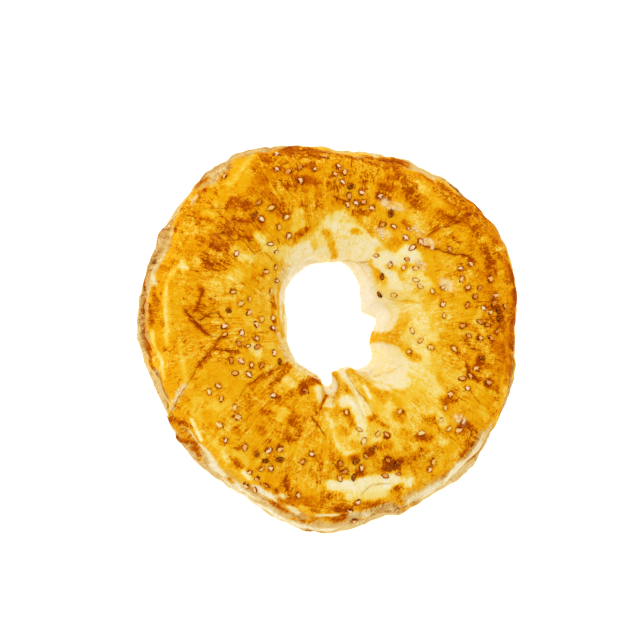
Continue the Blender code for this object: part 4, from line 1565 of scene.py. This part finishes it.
# --- Sesame ------------------------------------------------------------------------------------
class Toast(Enum):
    """How dark a sesame seed is toasted."""

    GLAZED = "glazed"
    PALE = "pale"
    TOASTED = "toasted"
    DARK = "dark"


@dataclass(frozen=True)
class Spot:
    """Where one seed lies: its middle, the skin's outward direction, its spin and its size."""

    middle: Vector
    normal: Vector
    spin: float
    size: float


@dataclass
class SesameSeeds:
    """The seeds that were strewn on the washed dough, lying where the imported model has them."""

    length: float = 3.0
    width: float = 1.9
    thickness: float = 1.1
    size_spread: float = 0.14
    puff: Range = (0.88, 1.12)      # how much slimmer or fuller than that a seed is
    taper: float = 0.34             # how much narrower the pointed end is
    taper_power: float = 1.4        # how late the taper sets in towards the point
    flatness: float = 0.8           # how flat its faces are: 1 is an ellipse
    # the dark rim band: partly toasting, partly painted contact shade
    rim_band: Range = (0.50, 0.84)  # where its rim starts and is whole, as a share of its half width
    raised: float = 0.14            # height of its middle above the skin, in thicknesses
    gap: float = 3.1                # least distance between the middles of two seeds
    sides: int = 18
    rings: int = 11
    seed_draw: int = 12
    tries: int = 60                 # for each seed of a patch
    lowest: float = 9.0             # no seed sits lower than this on the rim
    tilt: float = 9.0               # degrees that a seed leans, at most
    toast_spread: float = 0.95      # how unevenly the seeds are toasted
    point_toast: float = 0.3        # how much more the pointed end is than the blunt one
    toasted_reach: float = 2.6      # how far from a toasted place the seeds are browner
    dark_chance: float = 0.6        # of such a seed
    glazed_reach: float = 10.0      # how far from a glazed place the wash hides the seeds
    glazed_chance: float = 0.8      # of such a seed
    toasted_chance: float = 0.26    # of any other seed
    # each kind's middle, dark rim and tint; the dark rim is partly painted contact shade
    finishes: tuple[tuple[Toast, SesameHull], ...] = (
        (Toast.GLAZED, SesameHull("hulled_sesame_glazed", "#F9E09A", "#A85E14", "#F0C04C",
                                  edge="#E8AC40")),
        (Toast.PALE, SesameHull("hulled_sesame_pale", "#FFE4BE", "#742600", "#F4BC54")),
        (Toast.TOASTED, SesameHull("hulled_sesame_toasted", "#F6B860", "#6A2000", "#DC8020")),
        (Toast.DARK, SesameHull("hulled_sesame_dark", "#9C4A12", "#381000", "#662404")),
    )

    def places(self) -> list[np.ndarray]:
        """Draw the seeds' plan places, patch by patch.

        Returns:
            The places in millimetres, none nearer to another than the gap.
        """
        draw = np.random.default_rng(self.seed_draw)
        places: list[np.ndarray] = []
        for patch in SEED_PATCHES:
            wanted = len(places) + patch.count
            for _ in range(self.tries * patch.count):
                place = np.array((patch.x, patch.y)) + patch.spread * draw.uniform(-1, 1, 2)
                if len(places) < wanted and all(
                    np.linalg.norm(place - other) > self.gap for other in places
                ):
                    places.append(place)
        return places

    def lay(self, crust: Object) -> list[Spot]:
        """Find where each seed touches the skin.

        Args:
            crust: the shaped crust.

        Returns:
            One spot for each seed that lies high enough.
        """
        skin = BVHTree.FromObject(crust, bpy.context.evaluated_depsgraph_get())
        draw = np.random.default_rng(self.seed_draw + 1)
        above, down = Vector((0.0, 0.0, 0.1)), Vector((0.0, 0.0, -1.0))
        spots = []
        for place in self.places():
            spin = draw.uniform(0, 2 * math.pi)
            size = 1.0 + draw.uniform(-self.size_spread, self.size_spread)
            start = Vector((place[0] * MM, place[1] * MM, 0.0)) + above
            spot, normal, _, _ = skin.ray_cast(start, down)
            if spot is not None and spot.z >= self.lowest * MM:
                normal = self.broad_normal(skin, spot, normal)
                middle = spot + normal * (self.raised * self.thickness * MM)
                spots.append(Spot(middle, normal, spin, size))
        return spots

    def broad_normal(self, skin: BVHTree, spot: Vector, normal: Vector) -> Vector:
        """Average the skin's direction over a seed's own width.

        Args:
            skin: the crust's surface.
            spot: the middle of the seed.
            normal: the skin's direction there.

        Returns:
            A direction of length 1.
        """
        total = normal.copy()
        for turn in range(6):
            aside = Vector((math.cos(turn), math.sin(turn), 0.0)) * self.width * 0.5 * MM
            _, near, _, _ = skin.find_nearest(spot + aside)
            total += near
        return total.normalized()

    def kind(self, spot: Spot, chance: float) -> Toast:
        """Choose how dark a seed is, by where it lies.

        Args:
            spot: where the seed lies.
            chance: a random draw from 0 to 1.

        Returns:
            The seed's kind.
        """
        toasted, glazed = (
            min(math.hypot(spot.middle.x / MM - x, spot.middle.y / MM - y) for x, y in places)
            for places in (TOASTED_PLACES, GLAZED_PLACES)
        )
        if toasted < self.toasted_reach:
            return Toast.DARK if chance < self.dark_chance else Toast.TOASTED
        if glazed < self.glazed_reach and chance < self.glazed_chance:
            return Toast.GLAZED
        return Toast.TOASTED if chance < self.toasted_chance else Toast.PALE

    def one(self) -> tuple[np.ndarray, list[tuple[int, ...]], np.ndarray]:
        """Shape one seed lying along +X, its pointed end forward.

        Returns:
            Its points in millimetres, its faces, and how near each point is to its rim.
        """
        body = bmesh.new()
        bmesh.ops.create_uvsphere(
            body, u_segments=self.sides, v_segments=self.rings, radius=0.5,
            matrix=Matrix.Rotation(math.radians(90), 4, "Y"),
        )
        points = np.array([vertex.co for vertex in body.verts])
        faces = sorted(tuple(vertex.index for vertex in face.verts) for face in body.faces)
        body.free()
        rim = smooth_step(*self.rim_band, np.hypot(points[:, 0], points[:, 1]) / 0.5)
        slim = 1.0 - self.taper * (2.0 * np.maximum(points[:, 0], 0.0)) ** self.taper_power
        flat = np.sign(points[:, 2]) * np.abs(2.0 * points[:, 2]) ** self.flatness * 0.5
        shaped = np.column_stack((
            points[:, 0] * self.length, points[:, 1] * self.width * slim,
            flat * self.thickness * slim,
        ))
        return shaped, faces, rim

    def join(self, name: str, spots: list[Spot], draw: np.random.Generator) -> Object:
        """Join the seeds of one kind into one piece.

        Args:
            name: the piece's name.
            spots: where its seeds lie.
            draw: the random draw of each seed's lean and colour.

        Returns:
            The piece.
        """
        shape, faces, rim = self.one()
        point_toast = self.point_toast * shape[:, 0] / self.length
        points, all_faces, toast = [], [], []
        for number, spot in enumerate(spots):
            lean = [math.radians(angle) for angle in draw.uniform(-self.tilt, self.tilt, 2)]
            puff = draw.uniform(*self.puff, 3)
            turned = (
                spot.normal.to_track_quat("Z", "Y").to_matrix()
                @ Matrix.Rotation(spot.spin, 3, "Z")
                @ Matrix.Rotation(lean[0], 3, "X") @ Matrix.Rotation(lean[1], 3, "Y")
            )
            local = shape * puff * (spot.size * MM)
            points.append(local @ np.array(turned).T + np.array(spot.middle))
            all_faces += [tuple(corner + number * len(shape) for corner in face) for face in faces]
            toast.append(draw.uniform(0.0, self.toast_spread) + point_toast)
        mesh = bpy.data.meshes.new(name)
        mesh.from_pydata(np.concatenate(points).tolist(), [], all_faces)
        mesh.update()
        set_values(mesh, "rim", np.tile(rim, len(spots)))
        set_values(mesh, "toast", np.concatenate(toast))
        return new_piece(name, mesh)

    def build(self, spots: list[Spot]) -> list[Object]:
        """Make and dress one piece for each kind of seed.

        Args:
            spots: where the seeds lie.

        Returns:
            The pieces.
        """
        draw = np.random.default_rng(self.seed_draw + 2)
        sorted_spots: dict[Toast, list[Spot]] = {kind: [] for kind in Toast}
        for spot in spots:
            sorted_spots[self.kind(spot, draw.uniform())].append(spot)
        pieces = []
        for kind, finish in self.finishes:
            piece = self.join(f"sesame_{kind.value}", sorted_spots[kind], draw)
            piece.data.materials.append(finish.material())
            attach(piece, BODY)
            pieces.append(piece)
        return pieces


@dataclass
class SkinFlakes:
    """Thin dry flakes of skin where the crust has rubbed off."""

    size: Range = (0.7, 1.7)
    slimness: Range = (0.5, 0.9)    # width of a flake, as a share of its length
    thickness: float = 0.28
    raised: float = 0.1
    tilt: float = 22.0              # degrees that a flake curls off the skin, at most
    crumple: float = 0.32
    each: int = 7                   # flakes round each bare spot's route
    spread: float = 0.8             # how widely they are strewn
    draw_number: int = 31
    finish: PlainFinish = PlainFinish("dry_crust_flake", "#FCE8B4", "#EBBE6C", 0.8, 0.75)

    def build(self, photo: RollInPhoto, crust: Object) -> Object:
        """Scatter and dress the flakes.

        Args:
            photo: the plain roll that the bare spots lie on.
            crust: the shaped crust.

        Returns:
            The piece.
        """
        skin = BVHTree.FromObject(crust, bpy.context.evaluated_depsgraph_get())
        draw = np.random.default_rng(self.draw_number)
        whole = bmesh.new()
        for stroke in ROUGH_SPOTS:
            line = photo.line(stroke.route)
            for _ in range(self.each):
                spot = line[draw.integers(len(line))] + draw.normal(0.0, self.spread, 3)
                near, normal, _, _ = skin.find_nearest(Vector(spot) * MM)
                self.add(whole, near, normal, draw)
        mesh = bpy.data.meshes.new("crust_flakes")
        whole.to_mesh(mesh)
        whole.free()
        piece = new_piece("crust_flakes", mesh)
        mesh.materials.append(self.finish.material())
        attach(piece, BODY)
        return piece

    def add(
        self, whole: bmesh.types.BMesh, spot: Vector, normal: Vector, draw: np.random.Generator
    ) -> None:
        """Add one crumpled flake.

        Args:
            whole: the mesh of all flakes.
            spot: where it lies.
            normal: the skin's outward direction there.
            draw: the random draw of its shape.
        """
        half = 0.5 * draw.uniform(*self.size) * MM
        turned = (
            normal.to_track_quat("Z", "Y").to_matrix().to_4x4()
            @ Matrix.Rotation(draw.uniform(0, 2 * math.pi), 4, "Z")
            @ Matrix.Rotation(math.radians(draw.uniform(-self.tilt, self.tilt)), 4, "X")
        )
        scale = Matrix.Diagonal((
            half, half * draw.uniform(*self.slimness), 0.5 * self.thickness * MM, 1.0,
        ))
        lifted = Matrix.Translation(spot + normal * self.raised * MM)
        made = bmesh.ops.create_icosphere(whole, subdivisions=2, radius=1.0)["verts"]
        for vertex in made:
            vertex.co *= 1.0 + self.crumple * draw.uniform(-1, 1)
            vertex.co = lifted @ turned @ scale @ vertex.co


# --- The studio --------------------------------------------------------------------------------
@dataclass
class Studio:
    """A white floor, soft even light and a camera nearly straight above. The sizes of the studio
    are in metres, apart from the view's and the camera's."""

    view: View
    sensor: float = 36.0
    clip_end: float = 20.0
    sky_strength: float = 0.80
    key_power: float = 6.5
    key_size: float = 0.7
    key_place: tuple[float, float, float] = (-0.35, 0.45, 1.6)
    floor_size: float = 6.0
    floor_finish: PlainFinish = PlainFinish("white_light_table", "#FFFFFF", "#FCFCFC", 60.0, 0.9, 0.50)

    def camera(self) -> None:
        """Aim the camera so that the target falls on its pixel."""
        view = self.view
        right, up, back = view.axes()
        middle = 0.5 * view.image_pixels
        place = Vector(view.target) + back * view.distance
        place -= right * (view.target_pixel[0] - middle) * view.pixel
        place += up * (view.target_pixel[1] - middle) * view.pixel
        data = bpy.data.cameras.new("camera")
        data.sensor_width = self.sensor
        data.lens = self.sensor * view.distance / (view.image_pixels * view.pixel)
        data.clip_end = self.clip_end
        camera = bpy.data.objects.new("camera", data)
        turned = Matrix((right, up, back)).transposed().to_4x4()
        camera.matrix_world = Matrix.Translation(place * MM) @ turned
        bpy.context.scene.collection.objects.link(camera)
        bpy.context.scene.camera = camera

    def lights(self) -> None:
        """Light the bread from a white sky and one large soft lamp."""
        world = bpy.data.worlds.new("white_sky")
        bpy.context.scene.world = world
        world.use_nodes = True
        set_inputs(world.node_tree, world.node_tree.nodes["Background"], {
            "Color": linear("#FFFFFF"), "Strength": self.sky_strength,
        })
        data = bpy.data.lights.new("soft_key", "AREA")
        data.energy = self.key_power
        data.size = self.key_size
        lamp = bpy.data.objects.new("soft_key", data)
        lamp.location = self.key_place
        lamp.rotation_euler = Vector(self.key_place).to_track_quat("Z", "Y").to_euler()
        bpy.context.scene.collection.objects.link(lamp)

    def floor(self) -> None:
        """Lay the floor."""
        body = bmesh.new()
        bmesh.ops.create_grid(body, x_segments=1, y_segments=1, size=0.5 * self.floor_size)
        mesh = bpy.data.meshes.new("floor")
        body.to_mesh(mesh)
        body.free()
        mesh.materials.append(self.floor_finish.material())
        new_piece("floor", mesh)

    def build(self) -> None:
        """Set up the camera, the lights and the floor."""
        self.camera()
        self.lights()
        self.floor()
        view = bpy.context.scene.view_settings
        view.view_transform = "Standard"
        view.look = "None"


def main() -> None:
    """Build the studio, the crust, the seeds and the flakes, in that order."""
    logging.basicConfig(level=logging.INFO, format="%(name)s: %(message)s")
    noise.seed_set(NOISE_SEED)
    view = View()
    Studio(view).build()
    log.info("studio ready")
    photo = RollInPhoto(Roll(), view)
    ring = BreadRing(photo.roll, photo)
    crust = ring.build()
    sesame = SesameSeeds()
    spots = sesame.lay(crust)
    ring.dress(crust, np.array([spot.middle for spot in spots]))
    for piece in (crust, *sesame.build(spots), SkinFlakes().build(photo, crust)):
        log.info("%s: %d faces", piece.name, len(piece.data.polygons))


if __name__ == "__main__":
    main()
